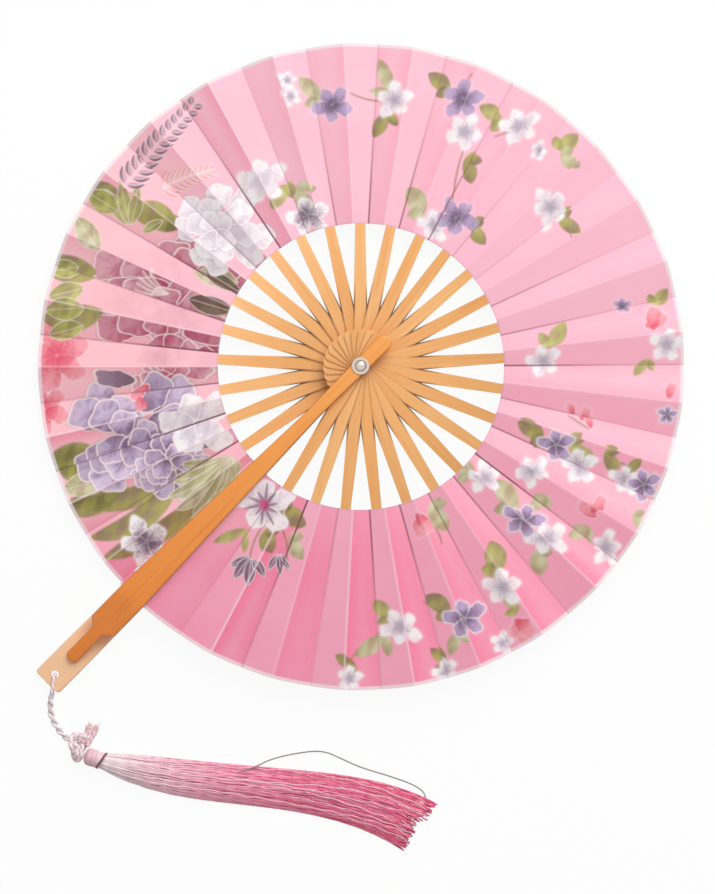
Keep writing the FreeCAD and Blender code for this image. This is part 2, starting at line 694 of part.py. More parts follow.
DRIVING = {name for name, _, _ in SIZES}
fill_sheets()
make_guards()
for rib_number in range(1, int(value("rib_count")) + 1):
    make_rib(rib_number)
make_rivet()
make_washer("front_washer", "front_washer_dia", "front_washer_base")
make_washer("rear_washer", "rear_washer_dia", "rear_washer_base")
doc.recompute()
make_leaf()
make_tassel_cord()
make_tassel_knot()
make_tassel_head()
make_tassel_skirt()
check_and_write()
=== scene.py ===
# %% [markdown]
# # A pleated silk fan that opens to a full circle
# Twenty-eight thin bamboo ribs and two thicker guards turn on one rivet, and a printed silk leaf is glued
# to the ribs. Opened right round, the two guards meet and make the handle, with a tassel at its end.
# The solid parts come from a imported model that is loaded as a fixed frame. Everything made here is in the
# same frame, in metres, with the pivot at the origin and the table at height zero.

# %% Load the frame
import math
import bpy
import numpy as np
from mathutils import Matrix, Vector


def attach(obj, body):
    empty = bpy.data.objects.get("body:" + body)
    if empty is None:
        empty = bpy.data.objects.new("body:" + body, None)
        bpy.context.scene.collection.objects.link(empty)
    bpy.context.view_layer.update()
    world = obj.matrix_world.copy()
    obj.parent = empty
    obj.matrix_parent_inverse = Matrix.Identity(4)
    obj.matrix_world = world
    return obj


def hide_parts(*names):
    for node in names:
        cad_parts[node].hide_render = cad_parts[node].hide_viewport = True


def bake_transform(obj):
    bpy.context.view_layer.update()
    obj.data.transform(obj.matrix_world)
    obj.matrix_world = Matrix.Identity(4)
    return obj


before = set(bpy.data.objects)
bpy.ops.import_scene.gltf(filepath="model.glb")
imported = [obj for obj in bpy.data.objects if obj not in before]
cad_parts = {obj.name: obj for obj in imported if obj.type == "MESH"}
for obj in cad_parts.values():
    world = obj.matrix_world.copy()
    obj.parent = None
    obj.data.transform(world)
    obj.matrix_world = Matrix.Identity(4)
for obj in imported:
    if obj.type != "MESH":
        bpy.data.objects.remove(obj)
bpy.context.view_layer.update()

MM = 0.001

# %% [markdown]
# ## Small helpers
# Colours are written as they look on a screen, and Blender mixes light in linear values, so one function
# turns the one into the other. Another adds a shader node: an input that is given a socket is linked, and
# any other input gets the value. Meshes are worked out in millimetres as whole arrays.

# %% Colours and nodes
def linear(code):
    """sRGB hex to linear light: ((c + 0.055) / 1.055) ** 2.4 for each channel, or c / 12.92 if it is dark."""
    c = np.array([int(code[i:i + 2], 16) for i in (1, 3, 5)]) / 255
    return np.where(c <= 0.04045, c / 12.92, ((c + 0.055) / 1.055) ** 2.4)


def opaque(code):
    """The same colour as a socket takes it, with an alpha of one."""
    return (*linear(code), 1.0)


def mix(start, end, share):
    """A number or colour on the way from one to another: start + share * (end - start)."""
    return start + share * (end - start)


def add_node(tree, kind, inputs=None, **settings):
    """Adds a node, sets its properties, and links or sets its inputs."""
    node = tree.nodes.new(kind)
    for name, value in settings.items():
        setattr(node, name, value)
    for name, value in (inputs or {}).items():
        if isinstance(value, bpy.types.NodeSocket):
            tree.links.new(value, node.inputs[name])
        else:
            node.inputs[name].default_value = value
    return node


def new_finish(name):
    """An empty node material and its tree."""
    material = bpy.data.materials.new(name)
    material.use_nodes = True
    material.node_tree.nodes.clear()
    return material, material.node_tree


print("a mid grey on the screen is", linear("#808080")[0].round(3), "in linear light")


# %% Meshes from arrays
def grid_faces(rows, columns, around=False):
    """Joins each point of a grid to its neighbours; around also joins the last column to the first."""
    row = np.arange(rows - 1)[:, None] * columns
    column = np.arange(columns if around else columns - 1)[None, :]
    after = (column + 1) % columns
    corners = [row + column, row + after, row + columns + after, row + columns + column]
    return np.stack(corners, -1).reshape(-1, 4).tolist()


def tube_faces(rows, columns):
    """A grid that closes round, with a flat face over each end."""
    last = (rows - 1) * columns
    ends = [list(range(columns))[::-1], list(range(last, last + columns))]
    return grid_faces(rows, columns, True) + ends


def make_piece(name, points, faces, material, closed=True, smooth=True):
    """Puts points in millimetres into a mesh, and turns a closed one so that its volume is positive."""
    mesh = bpy.data.meshes.new(name)
    mesh.from_pydata((points.reshape(-1, 3) * MM).tolist(), [], faces)
    mesh.calc_loop_triangles()
    if closed:
        corners = np.empty(3 * len(mesh.loop_triangles), np.int32)
        mesh.loop_triangles.foreach_get("vertices", corners)
        a, b, c = points.reshape(-1, 3)[corners.reshape(-1, 3)].transpose(1, 0, 2)
        if np.einsum("ij,ij", a, np.cross(b, c)) < 0:
            mesh.flip_normals()
    mesh.polygons.foreach_set("use_smooth", np.full(len(mesh.polygons), smooth))
    mesh.materials.append(material)
    piece = bpy.data.objects.new(name, mesh)
    bpy.context.scene.collection.objects.link(piece)
    return piece


def colour_points(piece, name, colours):
    """Stores one linear colour for each point, for a material to read by name."""
    rgba = np.ones((len(piece.data.vertices), 4), np.float32)
    rgba[:, :3] = colours.reshape(-1, 3)
    layer = piece.data.color_attributes.new(name, "FLOAT_COLOR", "POINT")
    layer.data.foreach_set("color", rgba.ravel())


def map_points(piece, name, places):
    """Gives each face corner its point's place on a flat map; a face on a tube's seam runs on past one."""
    corner = np.empty(len(piece.data.loops), np.int32)
    piece.data.loops.foreach_get("vertex_index", corner)
    first = np.empty(len(piece.data.polygons), np.int32)
    piece.data.polygons.foreach_get("loop_start", first)
    flat = places.reshape(-1, 2)[corner]
    highest = np.repeat(np.maximum.reduceat(flat[:, 0], first), np.diff(np.append(first, len(corner))))
    flat[:, 0] += highest - flat[:, 0] > 0.5
    piece.data.uv_layers.new(name=name).uv.foreach_set("vector", flat.astype(np.float32).ravel())


def ramp(start, end, x):
    """Rises smoothly from 0 at start to 1 at end."""
    t = np.clip((x - start) / (end - start), 0, 1)
    return t * t * (3 - 2 * t)


def unit(ways):
    """Directions scaled to a length of one."""
    return ways / np.linalg.norm(ways, axis=-1, keepdims=True)


print("a grid of 3 by 4 points has", len(grid_faces(3, 4)), "faces")

# %% [markdown]
# ## Camera
# The picture looks straight down on the table through a long lens, so the opened leaf is a near circle.
# The lens follows from the picture's height and the size of a pixel at the leaf's level. The camera stands
# over the picture's middle, and the pivot is at a known pixel of it.

# %% Camera
PICTURE_WIDE = 715
PICTURE_HIGH = 894
PIXEL = 0.5585
PIVOT_PIXEL = (360.6, 366.4)
CAMERA_HEIGHT = 1500.0
LEAF_LEVEL = 10.0
SENSOR = 36.0

# The picture is taller than it is wide, so the sensor's side lies along its height.
camera_data = bpy.data.cameras.new("camera_over_table")
camera_data.sensor_width = SENSOR
camera_data.lens = SENSOR * (CAMERA_HEIGHT - LEAF_LEVEL) / (PICTURE_HIGH * PIXEL)
camera = bpy.data.objects.new("camera_over_table", camera_data)
camera.location = (
    (PICTURE_WIDE / 2 - PIVOT_PIXEL[0]) * PIXEL * MM,
    (PIVOT_PIXEL[1] - PICTURE_HIGH / 2) * PIXEL * MM,
    CAMERA_HEIGHT * MM,
)
bpy.context.scene.collection.objects.link(camera)
bpy.context.scene.camera = camera
print("lens", round(camera_data.lens, 1), "mm at", CAMERA_HEIGHT, "mm")

# %% [markdown]
# ## Light and table
# One large soft lamp stands at the upper right, so that the pleats that face it are lighter than those that
# turn away. An even pale sky fills the shadows. The table is white, and shows itself to the camera
# mostly at full white, so that only a faint shadow stays under the fan.

# %% Lamp
# The lamp's distance and size are in metres.
LAMP_TURN = math.radians(66)
LAMP_RISE = math.radians(44)
LAMP_AWAY = 1.6
LAMP_SIZE = 1.4
LAMP_SHARE = 0.63

bpy.context.scene.view_settings.view_transform = "Standard"
toward = Vector((
    math.cos(LAMP_RISE) * math.cos(LAMP_TURN),
    math.cos(LAMP_RISE) * math.sin(LAMP_TURN),
    math.sin(LAMP_RISE),
))
lamp_data = bpy.data.lights.new("soft_window", "AREA")
lamp_data.shape = "DISK"
lamp_data.size = LAMP_SIZE
# A white table lights up by power * sin(rise) / (pi * distance) ** 2, which is set to the lamp's share.
lamp_data.energy = LAMP_SHARE * (math.pi * LAMP_AWAY) ** 2 / math.sin(LAMP_RISE)
lamp = bpy.data.objects.new("soft_window", lamp_data)
lamp.location = toward * LAMP_AWAY
lamp.rotation_euler = toward.to_track_quat("Z", "Y").to_euler()
bpy.context.scene.collection.objects.link(lamp)
print("lamp", round(lamp_data.energy, 1), "W")

# %% Sky and table
SKY_SHARE = 0.43
TABLE_SIDE = 20000.0
TABLE_SHOWN = 0.93


def seen_directly(tree):
    """One where a surface is seen, straight or in metal or glass, and zero where it only lights others."""
    ray = add_node(tree, "ShaderNodeLightPath")
    seen = ray.outputs["Is Camera Ray"]
    for kind in ("Is Glossy Ray", "Is Transmission Ray"):
        seen = add_node(tree, "ShaderNodeMath", {
            0: seen, 1: ray.outputs[kind]}, operation="MAXIMUM").outputs[0]
    return seen


sky = bpy.data.worlds.new("pale_sky")
sky.use_nodes = True
tree = sky.node_tree
tree.nodes.clear()
bright = add_node(tree, "ShaderNodeMapRange", {0: seen_directly(tree), 3: SKY_SHARE, 4: 1.0})
dome = add_node(tree, "ShaderNodeBackground", {"Color": opaque("#FFFDFC"), "Strength": bright.outputs[0]})
add_node(tree, "ShaderNodeOutputWorld", {"Surface": dome.outputs[0]})
bpy.context.scene.world = sky

table_finish, tree = new_finish("white_paper_table")
share = add_node(tree, "ShaderNodeMath", {0: seen_directly(tree), 1: TABLE_SHOWN}, operation="MULTIPLY")
paper = add_node(tree, "ShaderNodeBsdfDiffuse", {"Color": opaque("#FBFBFB")})
glow = add_node(tree, "ShaderNodeEmission", {"Color": opaque("#FFFFFF"), "Strength": 1.0})
both = add_node(tree, "ShaderNodeMixShader", {
    0: share.outputs[0], 1: paper.outputs[0], 2: glow.outputs[0]})
add_node(tree, "ShaderNodeOutputMaterial", {"Surface": both.outputs[0]})
table_points = TABLE_SIDE / 2 * np.array([(-1, -1, 0), (1, -1, 0), (1, 1, 0), (-1, 1, 0)], float)
table = make_piece("table", table_points, [[0, 1, 2, 3]], table_finish, closed=False)
print("table of", TABLE_SIDE * MM, "m under", sky.name)

# %% [markdown]
# ## Thread finishes
# The cord and the tassel are viscose, a smooth shiny thread that is often sold as rayon silk. Light runs
# along each thread, so the finish is fairly glossy with a little sheen. The dye changes along the threads, so
# each mesh carries its own colours as an attribute, and some of them are painted shade. A map goes once round
# each thread and along it in turns of its ply, and a slanting wave on that map paints shade along the grooves
# of the ply, which gives the spun look.

# %% Viscose thread
def viscose(name, bands, ply_shade, gloss):
    """Dyed thread: the colour comes from the mesh, and a slanting wave on its map paints shade along the
    ply's grooves.
    """
    material, tree = new_finish(name)
    dye = add_node(tree, "ShaderNodeVertexColor", layer_name="dye")
    place = add_node(tree, "ShaderNodeUVMap", uv_map="ply")
    # A diagonal band wave repeats every 2 pi / 10 of its scaled map, so this scale gives whole bands a turn.
    ply = add_node(tree, "ShaderNodeTexWave", {
        "Vector": place.outputs[0], "Scale": 0.2 * math.pi * bands}, bands_direction="DIAGONAL")
    depth = add_node(tree, "ShaderNodeMapRange", {0: ply.outputs["Fac"], 3: ply_shade, 4: 0.0})
    # Painted shade: in the grooves of the ply the dye is multiplied by a dusky pink.
    shade = add_node(tree, "ShaderNodeMix", {
        0: depth.outputs[0], 6: dye.outputs[0], 7: opaque("#C890A6")},
        data_type="RGBA", blend_type="MULTIPLY")
    dull = add_node(tree, "ShaderNodeMapRange", {0: ply.outputs["Fac"], 3: gloss + 0.12, 4: gloss - 0.06})
    relief = add_node(tree, "ShaderNodeBump", {
        "Height": ply.outputs["Fac"], "Strength": 0.4, "Distance": 0.1 * MM})
    shader = add_node(tree, "ShaderNodeBsdfPrincipled", {
        "Base Color": shade.outputs[2], "Roughness": dull.outputs[0], "Normal": relief.outputs[0],
        "IOR": 1.52, "Sheen Weight": 0.04, "Sheen Roughness": 0.4})
    add_node(tree, "ShaderNodeOutputMaterial", {"Surface": shader.outputs[0]})
    return material


cord_finish = viscose("twisted_viscose_cord", 3, 0.25, 0.45)
skirt_finish = viscose("loose_viscose_thread", 1, 0.16, 0.42)
binding_finish = viscose("viscose_binding_thread", 1, 0.4, 0.5)
print("thread finishes:", cord_finish.name, skirt_finish.name, binding_finish.name)

# %% [markdown]
# ## Tassel cord
# The cord is one length doubled through the hole in the paddle: one leg goes over the end of the paddle, the
# other under it, and below the paddle they are twisted together down to the knot. It could be a curve with a
# round bevel, but then the plies would not show. Each leg is a tube with a two-lobed section that turns along
# the leg, carried along a smooth spline through the route, and further down it winds round the other leg.

# %% Route of the cord
UP = np.array([0.0, 0.0, 1.0])
GUARD_ANGLE = math.radians(225.2)
HANG_ANGLE = math.radians(260)
HOLE_AWAY = 243
HOLE = HOLE_AWAY * np.array([math.cos(GUARD_ANGLE), math.sin(GUARD_ANGLE)])
HANG = np.array([math.cos(HANG_ANGLE), math.sin(HANG_ANGLE)])
ACROSS_HANG = np.array([-HANG[1], HANG[0], 0.0])
# At the paddle each leg has its own places: how far past the hole, and how high. The route that both share
# below the paddle is in x, y and z from the hole.
OVER_PADDLE = [(0, 5.3), (0, 7.9), (11, 7.9), (13.6, 4.5), (16, 4.5)]
UNDER_PADDLE = [(0, 5.3), (0, 2.7), (9, 2.7), (16, 2.7)]
CORD_ROUTE = [(-2.9, -21.5, 2.4), (-0.9, -27.3, 1.95), (3.0, -33.3, 1.95), (8.2, -37.5, 2.6)]
KNOT_PLACE = np.array([12.4, -40.6, 4.6])
LEG_DIA = 1.9
LEG_PITCH = 11.0
LEG_APART = 0.98
# The legs begin to wind round each other this far before the knot, and are fully wound a little nearer.
WIND_FROM = 39
WIND_FULL = 32
TABLE_GAP = 0.05


def at_hole(places):
    """Places given from the hole, in the fan's frame."""
    return np.array(places, float) + np.array([*HOLE, 0.0])


def spline_points(name, control):
    """Points along a NURBS spline of order 3 that starts and ends on its first and last control point."""
    curve = bpy.data.curves.new(name, "CURVE")
    curve.dimensions = "3D"
    curve.resolution_u = 24
    spline = curve.splines.new("NURBS")
    spline.points.add(len(control) - 1)
    spline.points.foreach_set("co", np.c_[control * MM, np.ones(len(control))].ravel())
    spline.order_u = 3
    spline.use_endpoint_u = True
    holder = bpy.data.objects.new(name, curve)
    mesh = bpy.data.meshes.new_from_object(holder)
    points = np.empty(3 * len(mesh.vertices))
    mesh.vertices.foreach_get("co", points)
    bpy.data.objects.remove(holder)
    bpy.data.curves.remove(curve)
    bpy.data.meshes.remove(mesh)
    return points.reshape(-1, 3) / MM


def run_along(path):
    """Distance from the start of a path to each of its points, for one path or for many at once."""
    steps = np.linalg.norm(np.diff(path, axis=-2), axis=-1)
    return np.concatenate([0 * steps[..., :1], np.cumsum(steps, -1)], -1)


def across(path, reference):
    """Two directions across a path: one square to the path and the reference, the other square to both."""
    way = unit(np.gradient(path, axis=-2))
    side = unit(np.cross(way, reference))
    return side, np.cross(side, way)


def carry_rings(path, radius, side, up):
    """Rings carried along a path: point = path + radius * (cos(angle) * side + sin(angle) * up)."""
    angle = np.linspace(0, 2 * np.pi, radius.shape[-1], endpoint=False)
    ring = np.cos(angle)[:, None] * side[..., None, :] + np.sin(angle)[:, None] * up[..., None, :]
    return path[..., None, :] + radius[..., None] * ring


def ply_map(run, sides, pitch):
    """Once round the thread in one direction, and turns of its ply along it in the other."""
    return np.stack(np.broadcast_arrays(np.arange(sides) / sides, run[..., None] / pitch), -1)


def ply_lobes(run, sides, pitch):
    """How near each point of a two-ply section is to a crown: |cos(angle - half a turn for each pitch)|."""
    angle = np.linspace(0, 2 * np.pi, sides, endpoint=False)
    return np.abs(np.cos(angle - np.pi * run[..., None] / pitch))


def shade_ply_hollows(lobe, pale, deep):
    """Painted shade: the hollow between two plies is coloured deeper than their crowns."""
    return mix(linear(deep), linear(pale), lobe[..., None] ** 0.7)


print("hole for the cord at", HOLE.round(1), "mm")

# %% Plied cord
PLY_PITCH = 3.4
PLY_SIDES = 14
PLY_DEPTH = 0.14


def tassel_piece(name, points, faces, material, slot, dye, places, *nodes):
    """A piece that swings with the tassel: its mesh, dye and ply map, and the solids that it stands for."""
    piece = make_piece(name, points, faces, material)
    colour_points(piece, "dye", dye)
    map_points(piece, "ply", places)
    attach(piece, "tassel")
    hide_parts(*nodes)
    return piece


def plied_cord(name, path, dia, reference, pale, deep, *nodes):
    """Two plies along a path: radius = dia / 2 * (1 - depth + depth * nearness to a crown)."""
    run = run_along(path)
    lobe = ply_lobes(run, PLY_SIDES, PLY_PITCH)
    points = carry_rings(path, dia / 2 * (1 - PLY_DEPTH + PLY_DEPTH * lobe), *across(path, reference))
    # The hollows between the plies get painted shade.
    return tassel_piece(name, points, tube_faces(*lobe.shape), cord_finish, "tassel cord",
                        shade_ply_hollows(lobe, pale, deep), ply_map(run, PLY_SIDES, PLY_PITCH), *nodes)


print("a ply crosses the cord every", PLY_PITCH, "mm")


# %% The two legs of the cord
def leg_path(name, places, turn):
    """The route's spline, and from the paddle on a helix round it: path + apart * (cos * side + sin * up)."""
    start = np.array([(*(d * HANG), z) for d, z in places])
    path = spline_points(name, at_hole(np.concatenate([start, CORD_ROUTE, [KNOT_PLACE]])))
    left = run_along(path)[-1] - run_along(path)
    side, up = across(path, ACROSS_HANG)
    wind = (turn - 2 * np.pi * left / LEG_PITCH)[:, None]
    apart = (LEG_APART * ramp(WIND_FROM, WIND_FULL, left))[:, None]
    wound = path + apart * (np.cos(wind) * side + np.sin(wind) * up)
    wound[:, 2] = np.maximum(wound[:, 2], LEG_DIA / 2 + TABLE_GAP)
    return wound


for name, places, turn in (
        ("cord_over_paddle", OVER_PADDLE, 0.0), ("cord_under_paddle", UNDER_PADDLE, np.pi)):
    path = leg_path(name, places, turn)
    leg = plied_cord(name, path, LEG_DIA, ACROSS_HANG, "#FFFCFD", "#DDC3CD", "tassel_loop", "tassel_cord")
    print(name, "is", round(run_along(path)[-1], 1), "mm long")

# %% [markdown]
# ## Knot and tails
# Both legs end in an overhand knot, and its two cut ends stick out of it and fray. A trefoil is the simplest
# closed curve that is truly knotted, so the knot follows a trefoil that is stretched to the knot's size. Both
# legs run through it side by side, so it is two plied tubes, one on each side of the trefoil's line. Each
# tail is a short tube of the same cord, with a brush of fine threads at its end.

# %% Knot
KNOT_TURN = math.radians(-4)
KNOT_STRAND = 2.9
KNOT_APART = 1.25
KNOT_HALF = np.array([3.1, 7.0, 2.3])
KNOT_SHIFT = np.array([0.3, 0.8, 0.0])
KNOT_TWISTS = 8
KNOT_DEPTH = 0.12
KNOT_ROWS = 160
KNOT_SIDES = 16

# The trefoil: x = sin t + 2 sin 2t, y = cos t - 2 cos 2t and z = -3 sin 3t, all divided by three.
t = np.linspace(0, 2 * np.pi, KNOT_ROWS, endpoint=False)
trefoil = np.stack([
    np.sin(t) + 2 * np.sin(2 * t), np.cos(t) - 2 * np.cos(2 * t), -3 * np.sin(3 * t)], -1) / 3
turned = np.array([[math.cos(KNOT_TURN), math.sin(KNOT_TURN), 0],
                   [-math.sin(KNOT_TURN), math.cos(KNOT_TURN), 0], [0, 0, 1]])
middle = at_hole((trefoil * KNOT_HALF + KNOT_SHIFT) @ turned + KNOT_PLACE)
way = unit(np.roll(middle, -1, axis=0) - np.roll(middle, 1, axis=0))
side = unit(np.cross(way, UP))
strands = np.stack([middle - KNOT_APART * side, middle + KNOT_APART * side])
angle = np.linspace(0, 2 * np.pi, KNOT_SIDES, endpoint=False)
lobe = np.abs(np.cos(angle - KNOT_TWISTS * t[:, None])) * np.ones((2, 1, 1))
thick = KNOT_STRAND / 2 * (1 - KNOT_DEPTH + KNOT_DEPTH * lobe)
knot_points = carry_rings(strands, thick, side, np.cross(side, way))
loop = np.array(grid_faces(KNOT_ROWS + 1, KNOT_SIDES, True)) % (KNOT_ROWS * KNOT_SIDES)
knot_faces = np.concatenate([loop, loop + KNOT_ROWS * KNOT_SIDES]).tolist()
knot_map = ply_map(KNOT_TWISTS * t / (2 * np.pi) * np.ones((2, 1)), KNOT_SIDES, 1.0)
# The hollows between the knot's plies get painted shade.
knot = tassel_piece("overhand_knot", knot_points, knot_faces, cord_finish, "tassel cord",
                    shade_ply_hollows(lobe, "#FFF6F8", "#DFB0C0"), knot_map, "tassel_knot")
print("knot of", len(knot_faces), "faces")

# %% Tails
TAILS = [((15.0, -38.6, 5.4), (17.0, -35.4, 4.9), (18.4, -31.6, 3.4)),
         ((17.6, -40.2, 5.0), (20.4, -36.6, 3.9), (21.9, -31.8, 2.4))]
TAIL_DIA = 2.9
FRAY_COUNT = 44
FRAY_RADIUS = 0.22
FRAY_PITCH = 1.2
FRAY_LOW = 0.3
THREAD_SIDES = 5
chance = np.random.default_rng(7)


def thread_mesh(paths, radius, pitch):
    """Rings along many threads at once: the points, the faces with an end at each tip, and the ply map."""
    count, rows = paths.shape[:2]
    radii = np.broadcast_to(radius, (count, rows))[..., None] * np.ones(THREAD_SIDES)
    points = carry_rings(paths, radii, *across(paths, UP))
    first = (np.arange(count) * rows * THREAD_SIDES)[:, None, None]
    ring = np.arange(THREAD_SIDES)
    walls = first + np.array(grid_faces(rows, THREAD_SIDES, True))
    tips = first + np.stack([ring[::-1], ring + (rows - 1) * THREAD_SIDES])
    faces = walls.reshape(-1, 4).tolist() + tips.reshape(-1, THREAD_SIDES).tolist()
    return points, faces, ply_map(run_along(paths), THREAD_SIDES, pitch)


tail_names = []
for number, control in enumerate(TAILS, 1):
    path = spline_points("tail", at_hole(control))
    tail = plied_cord(f"cord_tail_{number}", path, TAIL_DIA, UP, "#F8DCDD", "#CF96A0", "tassel_tails")
    ahead = unit(path[-1] - path[-6])
    spread = chance.normal(0, 0.62, (FRAY_COUNT, 3)) * [1, 1, 0.6]
    s = np.linspace(-0.8, 1.0, 7)[None, :, None]
    length = chance.uniform(1.6, 3.2, FRAY_COUNT)[:, None, None]
    fray = path[-1] + spread[:, None] * (1.1 + 0.6 * np.clip(s, 0, 1)) + s * length * ahead
    fray[..., 2] = np.maximum(fray[..., 2], FRAY_LOW)
    fray_points, fray_faces, fray_map = thread_mesh(fray, FRAY_RADIUS, FRAY_PITCH)
    tips = mix(linear("#E7BCC0"), linear("#F6E2DC"), np.clip(s, 0, 1)[..., None])
    brush = tassel_piece(f"cord_fray_{number}", fray_points, fray_faces, cord_finish, "tassel cord",
                         np.broadcast_to(tips, fray_points.shape), fray_map, "tassel_tails")
    tail_names += [tail.name, brush.name]
print("tails:", tail_names)

# %% [markdown]
# ## Tassel head, binding and skirt
# The skirt's threads are laid over the cord, folded in half and bound below the fold, so the head is a small
# ribbed bulb. It is a ring that swells and closes, with shallow ribs along it. The binding is a thread wound
# twice, on a slant. The skirt is a bundle of separate threads, because a plain lofted skirt shows no light
# between threads. Each has its own place across the skirt, a slow wander, a small crimp, and its own length.

# %% Head
HEAD_START = at_hole((16.3, -45.3, 5.35))
HEAD_END = at_hole((26.1, -48.3, 5.35))
HEAD_SIDE = 4.9
HEAD_RIBS = 15
HEAD_ROWS = 40
HEAD_COLUMNS = 90
HEAD_TURNS = 4

# The radius opens as a quarter circle, narrows a little towards the binding, and dips between the ribs.
s = np.linspace(0, 1, HEAD_ROWS)
head_path = mix(HEAD_START, HEAD_END, s[:, None])
swell = np.sqrt(np.clip(1 - (1 - np.minimum(s / 0.3, 1)) ** 2, 0.02, 1)) * (1 - 0.07 * ramp(0.55, 1.0, s))
angle = np.linspace(0, 2 * np.pi, HEAD_COLUMNS, endpoint=False)
rib = np.abs(np.sin(HEAD_RIBS * angle + 1.4 * s[:, None]))
head_points = carry_rings(head_path, HEAD_SIDE * swell[:, None] * (0.91 + 0.09 * rib), *across(head_path, UP))
# Painted shade: the head's colour is darker in the hollows between its ribs.
head_dye_and_shade = shade_ply_hollows(rib, "#F9D3DE", "#C07F97")
pale = 0.6 * ramp(0.4, 1, s)[:, None, None]
head = tassel_piece("tassel_bulb", head_points, tube_faces(HEAD_ROWS, HEAD_COLUMNS), skirt_finish,
                    "tassel thread", mix(head_dye_and_shade, linear("#FFF0F4"), pale),
                    ply_map(HEAD_TURNS * s, HEAD_COLUMNS, 1.0), "tassel_head")
print("head:", head.name, "with", 2 * HEAD_RIBS, "ribs")

# %% Binding
BAND_TURNS = 2
BAND_DIA = 0.55
BAND_RADIUS = 4.85
BAND_SLANT = 1.5
BAND_PITCH = 1.2
BAND_SIDES = 8
# A helix round the head's end, and each turn is slanted by a cosine along the head.
t = np.linspace(0, 1, 40 * BAND_TURNS)[:, None]
head_way = unit(HEAD_END - HEAD_START)
head_side = np.cross(head_way, UP)
wind = 2 * np.pi * BAND_TURNS * t
band_path = HEAD_END + head_way * ((t - 0.5) * BAND_DIA * BAND_TURNS - BAND_SLANT * np.cos(wind))
band_path = band_path + BAND_RADIUS * (np.cos(wind) * head_side + np.sin(wind) * UP)
thick = np.full((len(t), BAND_SIDES), BAND_DIA / 2)
band_points = carry_rings(band_path, thick, *across(band_path, head_way))
band = tassel_piece("neck_binding", band_points, tube_faces(*thick.shape), binding_finish, "binding thread",
                    np.broadcast_to(linear("#8C4560"), (thick.size, 3)),
                    ply_map(run_along(band_path), BAND_SIDES, BAND_PITCH), "tassel_band")
print("binding:", band.name, "of", BAND_TURNS, "turns")

# %% Threads of the skirt
# Each row of the skirt: across and up from the hole, width, height, and height of the underside.
SKIRT = np.array([
    (26.2, -48.5, 9.2, 9.2, 0.9), (57.4, -56.6, 19.0, 8.2, 0.1), (93.7, -60.4, 23.0, 7.2, 0.1),
    (135.6, -66.5, 22.8, 6.6, 0.1), (173.5, -72.8, 28.5, 6.0, 0.1), (206.0, -87.2, 32.7, 5.0, 0.1)])
STRAY = [(96, -57, 5), (110, -53, 5), (121, -47.5, 3), (136, -44.4, 1), (150, -43, 0.6), (161, -48, 0.6),
         (172, -53, 0.6), (188, -57.6, 0.6), (203, -63, 0.6), (209, -69, 1), (207, -76, 2)]
STRAY_RADIUS = 0.42
THREAD_COUNT = 240
THREAD_DIA = 0.9
THREAD_ROWS = 72
THREAD_PITCH = 9.0
NOTCH = 0.035
WANDER = 0.13
CRIMP = 0.03
chance = np.random.default_rng(11)
# A smooth polynomial runs through each column of the skirt's rows.
stop = run_along(SKIRT[:, :2]) / run_along(SKIRT[:, :2])[-1]
bend = [np.polyfit(stop, SKIRT[:, i], 4) for i in range(5)]


def along_skirt(s):
    """Middle line, way across it, half width, height and underside, for s from 0 to 1 along the skirt."""
    x, y, wide, tall, under = (np.polyval(column, s) for column in bend)
    slope_x, slope_y = (np.polyval(np.polyder(column), s) for column in bend[:2])
    return np.stack([x, y], -1), unit(np.stack([-slope_y, slope_x], -1)), wide / 2, tall, under


def each_thread(low, high):
    """One seeded number for each thread, as a column."""
    return chance.uniform(low, high, THREAD_COUNT)[:, None]


# Each thread has a place across, a level in the bundle and a cut length, with a shallow notch in the end.
place = each_thread(-1, 1)
level = each_thread(0, 1) ** 0.6
notch = NOTCH * np.exp(-((place - 0.15) / 0.16) ** 2)
cut = 1 - each_thread(0, 0.03) - notch - 0.012 * (place < 0.1)
s = np.linspace(0, 1, THREAD_ROWS) * cut
middle, aside, half, tall, under = along_skirt(s)
wander = WANDER * np.sin(2 * np.pi * (each_thread(0.7, 1.8) * s + each_thread(0, 1))) * ramp(0, 0.35, s)
crimp = CRIMP * np.sin(2 * np.pi * (each_thread(9, 15) * s + each_thread(0, 1))) * ramp(0, 0.2, s)
drift = np.clip(place + wander + crimp, -1, 1)
# Across = half width * drift, and height = underside + level * height * root(1 - drift ** 2), nearly.
flat = middle + ((half - THREAD_DIA / 2) * drift)[..., None] * aside
height = under + THREAD_DIA / 2 + level * (tall - THREAD_DIA) * np.sqrt(1 - 0.96 * drift ** 2)
height = np.maximum(height, THREAD_DIA / 2 + TABLE_GAP)
threads = at_hole(np.concatenate([flat, height[..., None]], -1))

stray = spline_points("stray", at_hole(STRAY))
chosen = np.linspace(0, len(stray) - 1, THREAD_ROWS).astype(int)
paths = np.concatenate([threads, stray[chosen][None]])
thick = np.append(np.full(THREAD_COUNT, THREAD_DIA / 2), STRAY_RADIUS)[:, None]
skirt_points, skirt_faces, skirt_map = thread_mesh(paths, thick, THREAD_PITCH)
print("threads:", len(paths), "and the longest is", run_along(paths).max().round(1), "mm")

# %% Dye of the skirt
DYE_STOPS = [0, 0.08, 0.18, 0.37, 0.62, 1]
DYE_CODES = ("#FFF8FA", "#FFE6ED", "#FFC8D8", "#FB99B6", "#F26F95", "#EB5A85")
DYE_TONES = np.array([linear(code) for code in DYE_CODES])


def dye_along(s):
    """The dye for s from 0 to 1 along the skirt, from nearly white at the head to deep pink at the end."""
    return np.stack([np.interp(s, DYE_STOPS, DYE_TONES[:, i]) for i in range(3)], -1)


